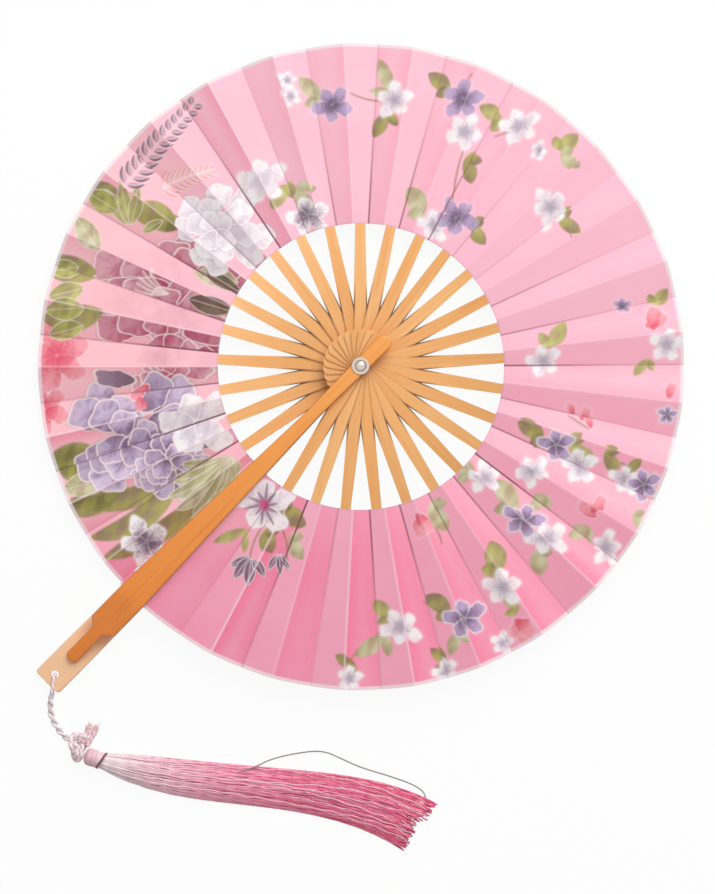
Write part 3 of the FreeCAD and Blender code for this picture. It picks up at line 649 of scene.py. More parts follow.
dye = dye_along(s) * each_thread(0.82, 1.14)[..., None]
pale = each_thread(0, 1)[..., None] ** 3 * 0.7
dye = np.clip(mix(dye, linear("#FFDDE6"), pale), 0, 1)
grey = np.broadcast_to(linear("#9A948E"), (1, THREAD_ROWS, 3))
skirt = tassel_piece("tassel_threads", skirt_points, skirt_faces, skirt_finish, "tassel thread",
                     np.repeat(np.concatenate([dye, grey]), THREAD_SIDES, axis=1), skirt_map, "tassel_skirt")
print(skirt.name, "of", THREAD_COUNT, "threads and", len(skirt_faces), "faces")

# %% Inner threads of the skirt
CORE_RIBS = 34
CORE_COLUMNS = 6 * CORE_RIBS
CORE_ROWS = 90
CORE_END = 0.93
CORE_LONG = 200
# An oval that is carried along the skirt: across = half width * swell * cos, height likewise with sin.
t = np.linspace(0, CORE_END, CORE_ROWS)[:, None]
angle = np.linspace(0, 2 * np.pi, CORE_COLUMNS, endpoint=False)[None]
middle, aside, half, tall, under = along_skirt(t)
rib = np.abs(np.sin(CORE_RIBS / 2 * angle + 3 * np.sin(4 * t + angle)))
swell = 0.76 + 0.06 * rib
core_flat = middle + (half * swell * np.cos(angle))[..., None] * aside
core_height = under + 0.2 + 0.42 * tall * (1 + swell * np.sin(angle))
core_points = at_hole(np.concatenate([core_flat, core_height[..., None]], -1))
# Painted shade: the inner body is coloured deeper pink than the outer threads and darkened to between half
# and nine tenths, least on its ribs, as shade inside the bundle.
core_shaded_dye = mix(dye_along(t), linear("#F285A7"), 0.7)
core = tassel_piece("tassel_inner_threads", core_points, tube_faces(CORE_ROWS, CORE_COLUMNS), skirt_finish,
                    "tassel thread", core_shaded_dye * (0.5 + 0.4 * rib[..., None]),
                    ply_map(CORE_LONG * t[:, 0], CORE_COLUMNS, THREAD_PITCH), "tassel_skirt")
print(core.name, "as one ribbed body of", CORE_ROWS, "rows")

# %% [markdown]
# ## Bamboo
# Ribs and guards are split from bamboo, so fine darker fibres run along each piece. Upright and eased faces
# are browner than the top, partly as the cut edge's own colour and partly as painted shade along the edges.
# The pattern is a noise that is stretched along the grain: one cell is 35 mm long and a third of a millimetre
# wide. Every rib points another way, so each has its own copy of the finish, turned to its own angle. Near
# the place where the ribs part, painted shade darkens their edges, as in the gaps between them. That is a
# band along the edge, from how far a point is from the rib's middle line.

# %% Faces and rubbed edges
# A rib's half width at two distances from the pivot, and where its painted edge shade begins, is full, fades
# and ends.
RIB_WIDE = [(36, 3.75), (77, 2.9)]
EDGE_SHADE_FROM = 26
EDGE_SHADE_FULL = 33
EDGE_SHADE_FADES = 37
EDGE_SHADE_ENDS = 47


def upward(tree):
    """The height part of a face's direction: one on top, zero on an upright face, minus one underneath."""
    normal = add_node(tree, "ShaderNodeNewGeometry").outputs["True Normal"]
    return add_node(tree, "ShaderNodeSeparateXYZ", {0: normal}).outputs["Z"]


def painted_gap_shade(tree, part, amount):
    """Painted shade within a millimetre of a rib's edge, full where the ribs part, fainter nearer the pivot.
    """
    (start, start_half), (end, end_half) = RIB_WIDE
    along = part.outputs["X"]
    side = add_node(tree, "ShaderNodeMath", {0: part.outputs["Y"]}, operation="ABSOLUTE")
    half = add_node(tree, "ShaderNodeMapRange", {
        0: along, 1: start * MM, 2: end * MM, 3: start_half * MM, 4: end_half * MM})
    inset = add_node(tree, "ShaderNodeMath", {0: half.outputs[0], 1: side.outputs[0]}, operation="SUBTRACT")
    rim = add_node(tree, "ShaderNodeMapRange", {
        0: inset.outputs[0], 1: 0.3 * MM, 2: 1.0 * MM, 3: 0.95, 4: 0.0})
    near = add_node(tree, "ShaderNodeMapRange", {
        0: along, 1: EDGE_SHADE_FROM * MM, 2: EDGE_SHADE_FULL * MM, 3: amount, 4: 1.0})
    far = add_node(tree, "ShaderNodeMapRange", {
        0: along, 1: EDGE_SHADE_FADES * MM, 2: EDGE_SHADE_ENDS * MM, 3: 1.0, 4: 0.0})
    band = add_node(tree, "ShaderNodeMath", {0: near.outputs[0], 1: far.outputs[0]}, operation="MULTIPLY")
    return add_node(tree, "ShaderNodeMath", {
        0: rim.outputs[0], 1: band.outputs[0]}, operation="MULTIPLY").outputs[0]


print("edges of the ribs rubbed from", EDGE_SHADE_FROM, "to", EDGE_SHADE_ENDS, "mm")

# %% Bamboo finish
GRAIN_LONG = 35.0
GRAIN_WIDE = 0.35
GRAIN_DEEP = 7.0
# A guard is darkened by the hand from here on along its length, and fully from there.
HELD_FROM = 20
HELD_FULL = 220


def bamboo(name, angle, shift, pale, deep, edge, gloss, edge_shade_level=0.0, handled=None):
    """Split bamboo: fibre noise mixes two tones, a slow noise shades them, and upright faces are browner,
    partly as painted shade along the edges.
    """
    material, tree = new_finish(name)
    place = add_node(tree, "ShaderNodeTexCoord").outputs["Object"]
    turned = add_node(tree, "ShaderNodeMapping", {
        "Vector": place, "Rotation": (0, 0, angle)}, vector_type="TEXTURE")
    part = add_node(tree, "ShaderNodeSeparateXYZ", {0: turned.outputs[0]})
    grain = add_node(tree, "ShaderNodeMapping", {
        "Vector": turned.outputs[0], "Location": (0.012 * shift, 0.0, 0.0),
        "Scale": (GRAIN_LONG * MM, GRAIN_WIDE * MM, GRAIN_DEEP * MM)}, vector_type="TEXTURE")
    fibre = add_node(tree, "ShaderNodeTexNoise", {"Vector": grain.outputs[0], "Scale": 1.0, "Detail": 3.0})
    cloud = add_node(tree, "ShaderNodeTexNoise", {"Vector": place, "Scale": 45.0 + shift, "Detail": 1.0})
    tone = add_node(tree, "ShaderNodeMapRange", {0: fibre.outputs[0], 1: 0.3, 2: 0.7})
    face = add_node(tree, "ShaderNodeMix", {
        0: tone.outputs[0], 6: opaque(deep), 7: opaque(pale)}, data_type="RGBA")
    drift = add_node(tree, "ShaderNodeMapRange", {0: cloud.outputs[0], 1: 0.3, 2: 0.7, 3: 0.0, 4: 0.35})
    aged = add_node(tree, "ShaderNodeMix", {
        0: drift.outputs[0], 6: face.outputs[2], 7: opaque(deep)}, data_type="RGBA")
    # Painted shade darkens the ribs' edges near where they part.
    if edge_shade_level:
        aged = add_node(tree, "ShaderNodeMix", {
            0: painted_gap_shade(tree, part, edge_shade_level), 6: aged.outputs[2], 7: opaque("#4E290C")},
            data_type="RGBA")
    # Upright and eased faces take the edge colour: partly the cut edge's own browner colour, partly painted
    # shade along the edges.
    level = add_node(tree, "ShaderNodeMath", {0: upward(tree)}, operation="ABSOLUTE")
    cut = add_node(tree, "ShaderNodeMapRange", {0: level.outputs[0], 1: 0.25, 2: 0.93, 3: 1.0, 4: 0.0})
    colour = add_node(tree, "ShaderNodeMix", {
        0: cut.outputs[0], 6: aged.outputs[2], 7: opaque(edge)}, data_type="RGBA")
    if handled:
        held = add_node(tree, "ShaderNodeMapRange", {
            0: part.outputs["X"], 1: HELD_FROM * MM, 2: HELD_FULL * MM, 3: 0.0, 4: 0.8})
        colour = add_node(tree, "ShaderNodeMix", {
            0: held.outputs[0], 6: colour.outputs[2], 7: opaque(handled)},
            data_type="RGBA", blend_type="MULTIPLY")
    dull = add_node(tree, "ShaderNodeMapRange", {0: fibre.outputs[0], 3: gloss - 0.08, 4: gloss + 0.12})
    relief = add_node(tree, "ShaderNodeBump", {
        "Height": fibre.outputs[0], "Strength": 0.3, "Distance": 0.06 * MM})
    shader = add_node(tree, "ShaderNodeBsdfPrincipled", {
        "Base Color": colour.outputs[2], "Roughness": dull.outputs[0], "Normal": relief.outputs[0],
        "IOR": 1.5, "Coat Weight": 0.12, "Coat Roughness": 0.3})
    add_node(tree, "ShaderNodeOutputMaterial", {"Surface": shader.outputs[0]})
    return material


print("grain of", GRAIN_LONG, "by", GRAIN_WIDE, "mm")

# %% Ribs
RIB_COUNT = 28
RIB_LEAD = math.radians(1.5)
PITCH = 2 * math.pi / (RIB_COUNT + 1)


def rib_angle(number):
    """Direction of a rib from the pivot; the first is next to the front guard."""
    return GUARD_ANGLE + RIB_LEAD + number * PITCH


def dress(node, material):
    """Gives a solid of the frame another finish through its object's slots."""
    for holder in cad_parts[node].material_slots:
        holder.link = "OBJECT"
        holder.material = material


for number in range(1, RIB_COUNT + 1):
    pale = ("#F8BF80", "#F5B977", "#FAC587")[number % 3]
    deep = ("#EBA45B", "#E89F57", "#EEA961", "#E69E55")[number % 4]
    # Painted shade: nearer the pivot, the edges of ribs that point left are shaded more than those that point
    # right.
    edge_shade_level = 0.15 + 0.4 * (0.5 - 0.5 * math.cos(rib_angle(number)))
    finish = bamboo(f"split_bamboo_rib_{number:02d}", rib_angle(number), number, pale, deep, "#9C5E28",
                    0.45, edge_shade_level)
    dress(f"rib_{number:02d}", finish)
print("ribs dressed:", RIB_COUNT)

# %% [markdown]
# ## Guards
# A guard is a thicker bamboo slat with eased edges: narrow at the pivot, wide at the handle. The front one is
# cut down to a tongue that lies on the rear one's paddle. A bevel on a plain block leaves the bends as hard
# lines, so the section, a rectangle with rounded corners and a slightly crowned top, is carried along the
# slat, and its width and height at each place are read from a few stations. Two shallow grooves run along
# the front one, where the fibres were split. The holes are cut afterwards.

# %% Ends and bends of a slat
BUTT = -21.5
BUTT_HALF = 4.4
BUTT_ROUND = 3.0
BEND_SOFT = 4.0


def eased_end(x, end, side, corner, sign):
    """Half width near a rounded end: the corner's circle, (side - corner) + root(corner**2 - distance**2)."""
    inside = np.clip(sign * (x - (end - sign * corner)), 0, corner)
    return side - corner + np.sqrt(corner ** 2 - inside ** 2)


def soft_line(x, places, heights):
    """Straight runs between stations, averaged over a few millimetres so that the bends are round."""
    offsets = np.linspace(-BEND_SOFT, BEND_SOFT, 17)
    return np.mean([np.interp(x + offset, places, heights) for offset in offsets], axis=0)


print("half width right at the butt:", eased_end(BUTT, BUTT, BUTT_HALF, BUTT_ROUND, -1), "mm")

# %% Guard slats
EASE_TOP = 1.1
EASE_UNDER = 0.35
CROWN = 0.12
# Where each groove lies across the top, from -1 to 1, and where it starts and stops.
GROOVES = [(0.42, 92, 203), (0.05, 150, 200)]
GROOVE_DEEP = 0.28
GROOVE_WIDE = 0.05
FAR = 1e3


def guard_slat(name, widths, corner, under, thick, material, grooves=()):
    """Rounded rectangles along the slat: across = +-(half - ease) + ease * cos, height likewise with sin."""
    tip = widths[-1][0]
    inner = np.linspace(0, 1, 12) ** 2
    run = np.linspace(BUTT + BUTT_ROUND + 0.6, tip - corner - 0.6, 260)
    x = np.concatenate([BUTT + BUTT_ROUND * inner, run, tip - corner * inner[::-1]])
    half = np.interp(x, *np.array(widths).T)
    half = np.minimum(half, eased_end(x, BUTT, BUTT_HALF, BUTT_ROUND, -1) + FAR * (x > BUTT + BUTT_ROUND))
    half = np.minimum(half, eased_end(x, tip, widths[-1][1], corner, 1) + FAR * (x < tip - corner))
    low = soft_line(x, *np.array(under).T)
    high = low + np.interp(x, *np.array(thick).T)
    x = np.concatenate([[x[0]], x, [x[-1]]])
    half, low, high = (np.concatenate([[v[0]], v, [v[-1]]])[:, None] for v in (half, low, high))
    shrink = np.zeros((len(x), 1))
    shrink[[0, -1]] = EASE_UNDER
    x[1] += EASE_UNDER
    x[-2] -= EASE_UNDER
    quarter = np.linspace(0, np.pi / 2, 5)
    arcs = [(1, 1, EASE_TOP, quarter), (-1, 1, EASE_TOP, quarter + np.pi / 2),
            (-1, -1, EASE_UNDER, quarter + np.pi), (1, -1, EASE_UNDER, quarter + 1.5 * np.pi)]
    sides, heights = [], []
    for sign, top, ease, turn in arcs:
        ease = np.minimum(ease, 0.9 * half)
        edge = high if top > 0 else low
        sides.append(sign * (half - shrink - ease) + ease * np.cos(turn))
        heights.append(edge - top * (ease + shrink) + ease * np.sin(turn))
        if sign > 0 and top > 0:
            step = np.linspace(1, -1, 41)[None, 1:-1]
            dip = 0 * step
            for place, start, stop in grooves:
                run = ramp(start, start + 20, x) * ramp(stop, stop - 8, x)
                dip = dip + GROOVE_DEEP * run[:, None] * np.exp(-((step - place) / GROOVE_WIDE) ** 2)
            sides.append(step * (half - shrink - ease))
            heights.append(edge - shrink + CROWN * (1 - step ** 2) - dip)
    side, z = np.concatenate(sides, 1), np.concatenate(heights, 1)
    c, s = math.cos(GUARD_ANGLE), math.sin(GUARD_ANGLE)
    points = np.stack([c * x[:, None] - s * side, s * x[:, None] + c * side, z], -1)
    return make_piece(name, points, tube_faces(*side.shape), material, smooth=False)


print("edges eased by", EASE_TOP, "mm on top and", EASE_UNDER, "mm underneath")

# %% Holes
PIN_ROOM = 2.08
HEAD_ROOM = 3.5
HEAD_DEEP = 1.41
HOLE_ROOM = 2.25


def drill(piece, place, radius, low, high):
    """Cuts a round hole from one height to another, and leaves no modifier behind."""
    path = np.array([(*place, z) for z in np.linspace(low, high, 3)], float)
    points = carry_rings(path, np.full((3, 48), radius), *across(path, np.array([1.0, 0.0, 0.0])))
    bit = make_piece("drill_bit", points, tube_faces(3, 48), piece.data.materials[0])
    cut = piece.modifiers.new("hole", "BOOLEAN")
    cut.object = bit
    cut.operation = "DIFFERENCE"
    solid = piece.evaluated_get(bpy.context.evaluated_depsgraph_get())
    old = piece.data
    piece.data = bpy.data.meshes.new_from_object(solid)
    piece.modifiers.clear()
    bpy.data.objects.remove(bit)
    bpy.data.meshes.remove(old)


print("hole for the cord:", 2 * HOLE_ROOM, "mm wide")

# %% Front and rear guard
# Stations: the distance from the pivot, and there the half width, the underside's height or the thickness.
HANDLE = [(BUTT, BUTT_HALF), (BUTT + BUTT_ROUND, BUTT_HALF), (38, 3.45), (178, 8.5)]
FRONT_WIDTHS = HANDLE + [(204, 8.5), (208, 3.7), (230.7, 3.7)]
FRONT_UNDER = [(-30, 17.96), (77, 17.96), (183.5, 16.52), (240, 5.37)]
FRONT_THICK = [(BUTT, 3), (183.5, 3), (230.7, 2.2)]
REAR_WIDTHS = HANDLE + [(226, 9), (249.4, 9)]
REAR_UNDER = [(-30, 0), (188, 0), (226, 4), (260, 4)]
REAR_THICK = [(BUTT, 3), (188, 3), (226, 2.6), (249.4, 2.6)]
TONGUE_CORNER = 2.6
PADDLE_CORNER = 2.0
guard_finish = bamboo("eased_bamboo_guard", GUARD_ANGLE, 3, "#FBAF5C", "#F09840", "#B5672A", 0.4,
                      handled="#F4C68A")
paddle_finish = bamboo("pale_bamboo_guard", GUARD_ANGLE, 8, "#FFD3AC", "#F9C496", "#D9A06C", 0.45)

front = guard_slat("front_guard_slat", FRONT_WIDTHS, TONGUE_CORNER, FRONT_UNDER, FRONT_THICK, guard_finish,
                   GROOVES)
drill(front, (0, 0), PIN_ROOM, 10, 30)
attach(front, "front_guard")
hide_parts("front_guard")

rear = guard_slat("rear_guard_slat", REAR_WIDTHS, PADDLE_CORNER, REAR_UNDER, REAR_THICK, paddle_finish)
drill(rear, (0, 0), PIN_ROOM, -5, 8)
drill(rear, (0, 0), HEAD_ROOM, -5, HEAD_DEEP)
drill(rear, HOLE, HOLE_ROOM, 0, 12)
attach(rear, "rear_guard")
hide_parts("rear_guard")
print("guards:", len(front.data.polygons), "and", len(rear.data.polygons), "faces")

# %% [markdown]
# ## Rivet
# The pin is a plated steel rivet with a washer under each head. Its shape in the frame is already right, so
# it only gets a metal finish. Plating is bright, and the steep rim of the dome is coloured darker than its
# top, as a painted reflection of the bamboo round it. A small noise moves the roughness, as handling does,
# and a shallow bump stands for the hammered dome.

# %% Plated steel
WEAR_WIDE = 0.6
DENT_WIDE = 1.8
steel, tree = new_finish("plated_steel")
place = add_node(tree, "ShaderNodeTexCoord").outputs["Object"]
wear = add_node(tree, "ShaderNodeTexNoise", {"Vector": place, "Scale": 1 / (WEAR_WIDE * MM), "Detail": 2.0})
dents = add_node(tree, "ShaderNodeTexNoise", {"Vector": place, "Scale": 1 / (DENT_WIDE * MM), "Detail": 0.0})
level = add_node(tree, "ShaderNodeMath", {0: upward(tree)}, operation="ABSOLUTE")
# Painted reflection: steep faces of the dome are coloured a dark brown, flat ones a pale steel.
painted_reflection_mix = add_node(tree, "ShaderNodeMapRange", {0: level.outputs[0], 1: 0.5, 2: 0.93})
plate = add_node(tree, "ShaderNodeMix", {
    0: painted_reflection_mix.outputs[0], 6: opaque("#6B5140"), 7: opaque("#DACDC2")}, data_type="RGBA")
dull = add_node(tree, "ShaderNodeMapRange", {0: wear.outputs[0], 3: 0.12, 4: 0.3})
relief = add_node(tree, "ShaderNodeBump", {
    "Height": dents.outputs[0], "Strength": 0.6, "Distance": 0.3 * MM})
shader = add_node(tree, "ShaderNodeBsdfPrincipled", {
    "Base Color": plate.outputs[2], "Metallic": 1.0, "Roughness": dull.outputs[0],
    "Normal": relief.outputs[0]})
add_node(tree, "ShaderNodeOutputMaterial", {"Surface": shader.outputs[0]})
for node in ("rivet", "front_washer", "rear_washer"):
    dress(node, steel)
print("plated steel on the rivet and its washers")

# %% [markdown]
# ## Shape of the leaf
# The leaf is one ring of silk, pleated so that a flat strip lies on every rib and a strip between two ribs
# falls from one to the next. It is made as 29 gores, each from the middle of one rib to the middle of the
# next. A gore is a grid: one direction is the distance from the pivot, the other goes across the half strip,
# the falling strip and the next half strip.
# On a rib, height = the rib's top + across * tan(tilt), and between ribs it runs from fold to fold with a
# small sag. Pleats are pressed by hand, so each fold and each sag is a little different.

# %% Pleats
LEAF_INNER = 80.0
LEAF_OUTER = 180.5
LEAF_THICK = 0.2
LEAF_ROWS = 188
HALF_COLUMNS = 16
GLUE = 0.06
TILT = math.radians(12)
# Heights: the rear guard's top, then a rib's top near the pivot and at its tip, which climb from rib to rib.
REAR_TOP = 3
ROOT_AT = 36
ROOT_CLIMB = 0.52
TIP_AT = 177.5
TIP_START = 2.27642
TIP_CLIMB = 0.32447
# The front guard's underside at two distances from the pivot.
FRONT_LINE = [(77, 17.96), (183.5, 16.518)]
chance = np.random.default_rng(3)
EDGES = PITCH / 4 * chance.uniform(0.86, 1.14, (RIB_COUNT + 2, 2))
SAGS = chance.uniform(0.02, 0.15, RIB_COUNT + 1)

radius = np.linspace(LEAF_INNER, LEAF_OUTER, LEAF_ROWS)[:, None]


def guard_lap(lap):
    """Angle from a guard's middle line to the leaf's fold beside it, at each radius."""
    return np.arcsin((np.interp(radius, *np.array(HANDLE).T) + lap) / radius)


def strip_height(number, angle):
    """Height of the strip on a rib, or flat under the front guard (0) and on the rear guard (29)."""
    along = radius * np.cos(angle)
    if number == 0:
        (start, high), (end, low) = FRONT_LINE
        return high + (low - high) * (along - start) / (end - start) - GLUE - LEAF_THICK
    if number == RIB_COUNT + 1:
        return REAR_TOP + GLUE + 0 * along
    place = RIB_COUNT + 1 - number
    root = REAR_TOP + ROOT_CLIMB * place
    tip = REAR_TOP + TIP_START + TIP_CLIMB * place
    level = root + (tip - root) * (along - ROOT_AT) / (TIP_AT - ROOT_AT)
    return level + radius * np.sin(angle) * math.tan(TILT) + GLUE / math.cos(TILT)


def body_angle(number):
    """Angle of a rib or guard, counted on from the front guard round to the rear one."""
    if number == 0:
        return 0.0
    return 2 * math.pi if number > RIB_COUNT else RIB_LEAD + number * PITCH


def gore(number):
    """Angle, height, share of the turn, and distances to the raised and the sunk fold, over one gore."""
    here, there = body_angle(number), body_angle(number + 1)
    first = here - guard_lap(1.2) if number == 0 else here + 0 * radius
    ridge = here + (guard_lap(0.6) if number == 0 else EDGES[number, 0] + 0 * radius)
    valley = there - (guard_lap(0.6) if number == RIB_COUNT else EDGES[number + 1, 1] + 0 * radius)
    last = there + (guard_lap(0.6) if number == RIB_COUNT else 0 * radius)
    step = np.linspace(0, 1, HALF_COLUMNS + 1)[None]
    fall = np.linspace(0, 1, 2 * HALF_COLUMNS + 1)[None, 1:-1]
    before, between, after = mix(first, ridge, step), mix(ridge, valley, fall), mix(valley, last, step)
    top = strip_height(number, ridge - here)
    foot = strip_height(number + 1, valley - there)
    slack = SAGS[number] * 4 * fall * (1 - fall) * radius / LEAF_OUTER
    height = [strip_height(number, before - here), mix(top, foot, fall) - slack,
              strip_height(number + 1, after - there)]
    turn = np.concatenate([0 * step, fall, 0 * step + 1], 1) + 0 * radius
    angle = np.concatenate([before, between, after], 1)
    to_ridge, to_valley = radius * (angle - ridge), radius * (angle - valley)
    return angle, np.concatenate(height, 1), turn, to_ridge, to_valley


gores = [np.stack(gore(number)) for number in range(RIB_COUNT + 1)]
columns = gores[0].shape[2]
angles, heights, turns, past_ridge, past_valley = np.stack(gores, 1)
reach = np.broadcast_to(radius, angles.shape)
silk = np.stack([reach * np.cos(GUARD_ANGLE + angles), reach * np.sin(GUARD_ANGLE + angles), heights], -1)
print("leaf of", len(gores), "gores,", LEAF_ROWS, "by", columns, "points each")

# %% [markdown]
# ## Print on the silk
# The silk is dyed pink and printed with a loose garden pattern: large layered blooms with pale outlines on
# one side, and small five-petalled blossoms, buds and leaves on the rest. A picture could be laid on, but
# here every motif is a formula: its points are taken along and across its own direction, a gap says how far
# each is from the motif's edge, and the colour is laid on where the gap is negative. The falling strips carry
# the print slightly shifted, as a pleated print never quite meets at its folds.

# %% Ground dye
chance = np.random.default_rng(5)
falling = (turns > 0) & (turns < 1)
shift = np.where(falling, chance.uniform(-2.2, 2.2, len(gores))[:, None, None], 0)
way = GUARD_ANGLE + angles
cloth = ((reach + shift)[..., None] * np.stack([np.cos(way), np.sin(way)], -1)).reshape(-1, 2)
falling = falling.ravel()


def watercolour(size, seed):
    """Uneven ink from 0 to 1: eight sine waves in seeded directions, added up and pressed together."""
    draw = np.random.default_rng(seed)
    way = draw.uniform(0, 2 * np.pi, 8)
    long = size * draw.uniform(0.6, 1.6, 8)
    wave = cloth[:, :1] * np.cos(way) + cloth[:, 1:] * np.sin(way)
    return 0.5 + 0.5 * np.tanh(np.sin(2 * np.pi * wave / long + draw.uniform(0, 2 * np.pi, 8)).sum(1) / 2)


GROUND = linear("#FBBFCF")
DEEP = linear("#FA99B6")
BLUSH = linear("#FCBFC8")
press = chance.uniform(0.3, 1.0, (len(gores), 1, 1))
pool = watercolour(9, 1)
cloud = watercolour(45, 2)
left = ramp(-40, -110, cloth[:, 0] + 0.25 * cloth[:, 1]) * ramp(-115, -70, cloth[:, 1])
low = ramp(-15, -140, cloth[:, 1] + 0.25 * cloth[:, 0])
paint = mix(mix(GROUND, DEEP, (0.85 * low + 0.15 * cloud)[:, None]), BLUSH, left[:, None])


def wash(amount, code):
    """Moves the whole cloth's colour towards another by an amount at each point."""
    paint[:] = mix(paint, linear(code), amount.ravel()[:, None])


print("ground laid on", len(cloth), "points")

# %% Painted shade and light at the folds
# Painted shade: the colour is deeper beside the folds, and on the rib strips of the right half, which turn
# away from the lamp. At the upper right painted light evens out the pleats' shading, so its folds hardly show
# there. Lower down the falling strips get painted shade and the rib strips painted light.
PAINTED_FILL_AT = math.radians(398)
PAINTED_FILL_WIDE = 0.5
on_ribs = ~falling.reshape(reach.shape)
painted_fill = np.exp(-((way - PAINTED_FILL_AT) / PAINTED_FILL_WIDE) ** 2)
press = press * (1 - 0.65 * painted_fill)
lower = low.reshape(reach.shape)
fold_shade = press * (0.3 + 0.3 * lower)
# Painted shade on the falling strip beside each raised fold, and towards each sunk fold.
wash(fold_shade * ramp(0, 0.6, past_ridge) * ramp(9.0, 0.6, past_ridge), "#FF5C8E")
wash(0.6 * fold_shade * ramp(-9.0, 0.0, past_valley) * (past_valley < 0), "#F2507F")
# Painted shade on the rib strips that turn away from the lamp.
wash(0.26 * on_ribs * np.clip(np.sin(way - LAMP_TURN), -1, 0) ** 2 * (1 - painted_fill), "#FF5C8E")
# Painted light at the upper right, which evens out the lamp's shading of the pleats.
wash(0.8 * on_ribs * painted_fill, "#FFBED1")
wash(0.5 * ~on_ribs * painted_fill, "#FBB4C8")
# Lower down, painted light on the rib strips and painted shade on the falling strips.
apart = lower * ramp(-115, -25, cloth[:, 0]).reshape(reach.shape)
wash(0.33 * on_ribs * apart, "#FBBFD2")
wash(0.35 * ~on_ribs * apart * (1 - 0.6 * ramp(105, 175, reach)), "#EC5C88")
print("folds shaded on", int(on_ribs.sum()), "points of the rib strips")


# %% Brush, leaf and petal
def motif(place, turn, reach):
    """The cloth's points near a place, and how far each is along and across a direction."""
    dx, dy = cloth[:, 0] - place[0], cloth[:, 1] - place[1]
    chosen = np.flatnonzero(dx * dx + dy * dy < reach * reach)
    c, s = math.cos(turn), math.sin(turn)
    return chosen, c * dx[chosen] + s * dy[chosen], c * dy[chosen] - s * dx[chosen]


def lay_on(chosen, gap, colour, strength=0.95, soft=1.1):
    """Lays a colour on where the gap is negative; its edge is soft, and the ink is a little uneven."""
    amount = np.broadcast_to(strength, len(cloth))[chosen] * (0.88 + 0.12 * pool[chosen])
    amount = amount * np.clip(0.5 - gap / soft, 0, 1)
    paint[chosen] = mix(paint[chosen], colour, amount[:, None])


def print_leaf(place, turn, length, wide, tones, bend=0.0, power=0.8, line=None, veins=0, soft=1.2):
    """A pointed leaf: gap = |across - bend| - half width * (4 s (1 - s)) ** power, where s runs along it."""
    chosen, along, side = motif(place, turn, 1.05 * length + abs(bend))
    s = np.clip(along / length, 0, 1)
    side = side - bend * 4 * s * (1 - s)
    body = np.abs(side) - wide / 2 * (4 * s * (1 - s)) ** power
    gap = np.maximum(body, np.abs(along - length / 2) - length / 2)
    share = 0.45 + 0.2 * np.tanh(side / (0.2 * wide)) + 0.6 * (pool[chosen] - 0.5) + 0.5 * (0.5 - s)
    lay_on(chosen, gap, mix(*tones, np.clip(share, 0, 1)[:, None]), 0.94, soft)
    if line is not None:
        lay_on(chosen, np.abs(gap + 0.2) - 0.22, line, 0.85, 0.6)
        lay_on(chosen, np.maximum(np.abs(side) - 0.15, gap), line, 0.7, 0.7)
    if veins:
        row = (s * veins - 3 * np.abs(side / wide) ** 0.7 + 0.6 * (side > 0)) % 1
        lay_on(chosen, np.maximum(np.abs(row - 0.5) * length / veins - 0.2, gap + 0.8), line, 0.5, 0.8)


def print_leaves(rows, tones, **how):
    """One kind of leaf at many places: each row is its place, direction, length, width and perhaps bend."""
    for x, y, turn, length, wide, *bend in rows:
        print_leaf((x, y), turn, length, wide, tones, *bend, **how)


def print_petal(place, turn, start, length, wide, tones, ruffle=0.05, line=None, under=None, strength=0.95,
                tip=0.0):
    """A petal: an oval, narrower at its root, with a rim that waves and may end in a point."""
    chosen, along, side = motif(place, turn, start + 1.4 * length)
    p = (along - start - length / 2) / (length / 2)
    q = side / (wide / 2) / (0.8 + 0.22 * np.clip(p, -1, 1))
    around = np.arctan2(q, p)
    wave = np.cos(5 * around + 3 * turn) + 0.7 * np.sin(3 * around + 7 * turn)
    rim = 1 + ruffle * wave * (np.cos(around) > -0.3) + tip * np.clip(np.cos(around), 0, 1) ** 10
    gap = (np.hypot(p, q) - rim) * min(length, wide) / 2
    if under is not None:
        lay_on(chosen, gap - 0.6, under, 0.32 * strength, 2.0)
    share = ramp(-1.0, 0.9, p + 0.2 * np.cos(9 * around) * (p > -0.4) + 0.7 * (pool[chosen] - 0.5))[:, None]
    lay_on(chosen, gap, mix(*tones, share), strength)
    if line is not None:
        lay_on(chosen, np.abs(gap + 0.2) - (0.25 if wide < 12 else 0.4), line, 0.95 * strength, 0.6)


print("points of cloth within 10 mm of a place:", len(motif((100, 0), 0, 10)[0]))

# %% Blossoms, blooms and sprays
# Rings of a bloom: how many petals, and their start, length and width as shares of the bloom's size.
BLOOM_RINGS = [(8, 0.4, 0.6, 0.62), (6, 0.18, 0.58, 0.62), (4, 0.0, 0.44, 0.5)]


def print_blossom(place, size, turn, tones, heart, line=None, streak=0.2):
    """Five pointed petals of slightly different length round a soft dark heart, with strokes for stamens."""
    for k in range(5):
        fit = size * (1 + 0.14 * math.sin(2.7 * k + place[0]))
        print_petal(place, turn + 0.4 * math.pi * k, 0.04 * size, 0.95 * fit, 0.82 * size, tones, 0.06, line,
                    SNOW, 0.95, 0.1)
    chosen, along, side = motif(place, 0, size)
    lay_on(chosen, np.hypot(along, side) - 0.22 * size, heart, 0.75, 0.5 * size)
    for k in range(5):
        chosen, along, side = motif(place, turn + (k + 0.2) * 2 * math.pi / 5, size)
        stroke = np.maximum(np.abs(side) - 0.18, np.abs(along - (0.1 + streak) * size) - streak * size)
        lay_on(chosen, stroke, heart, 0.6)


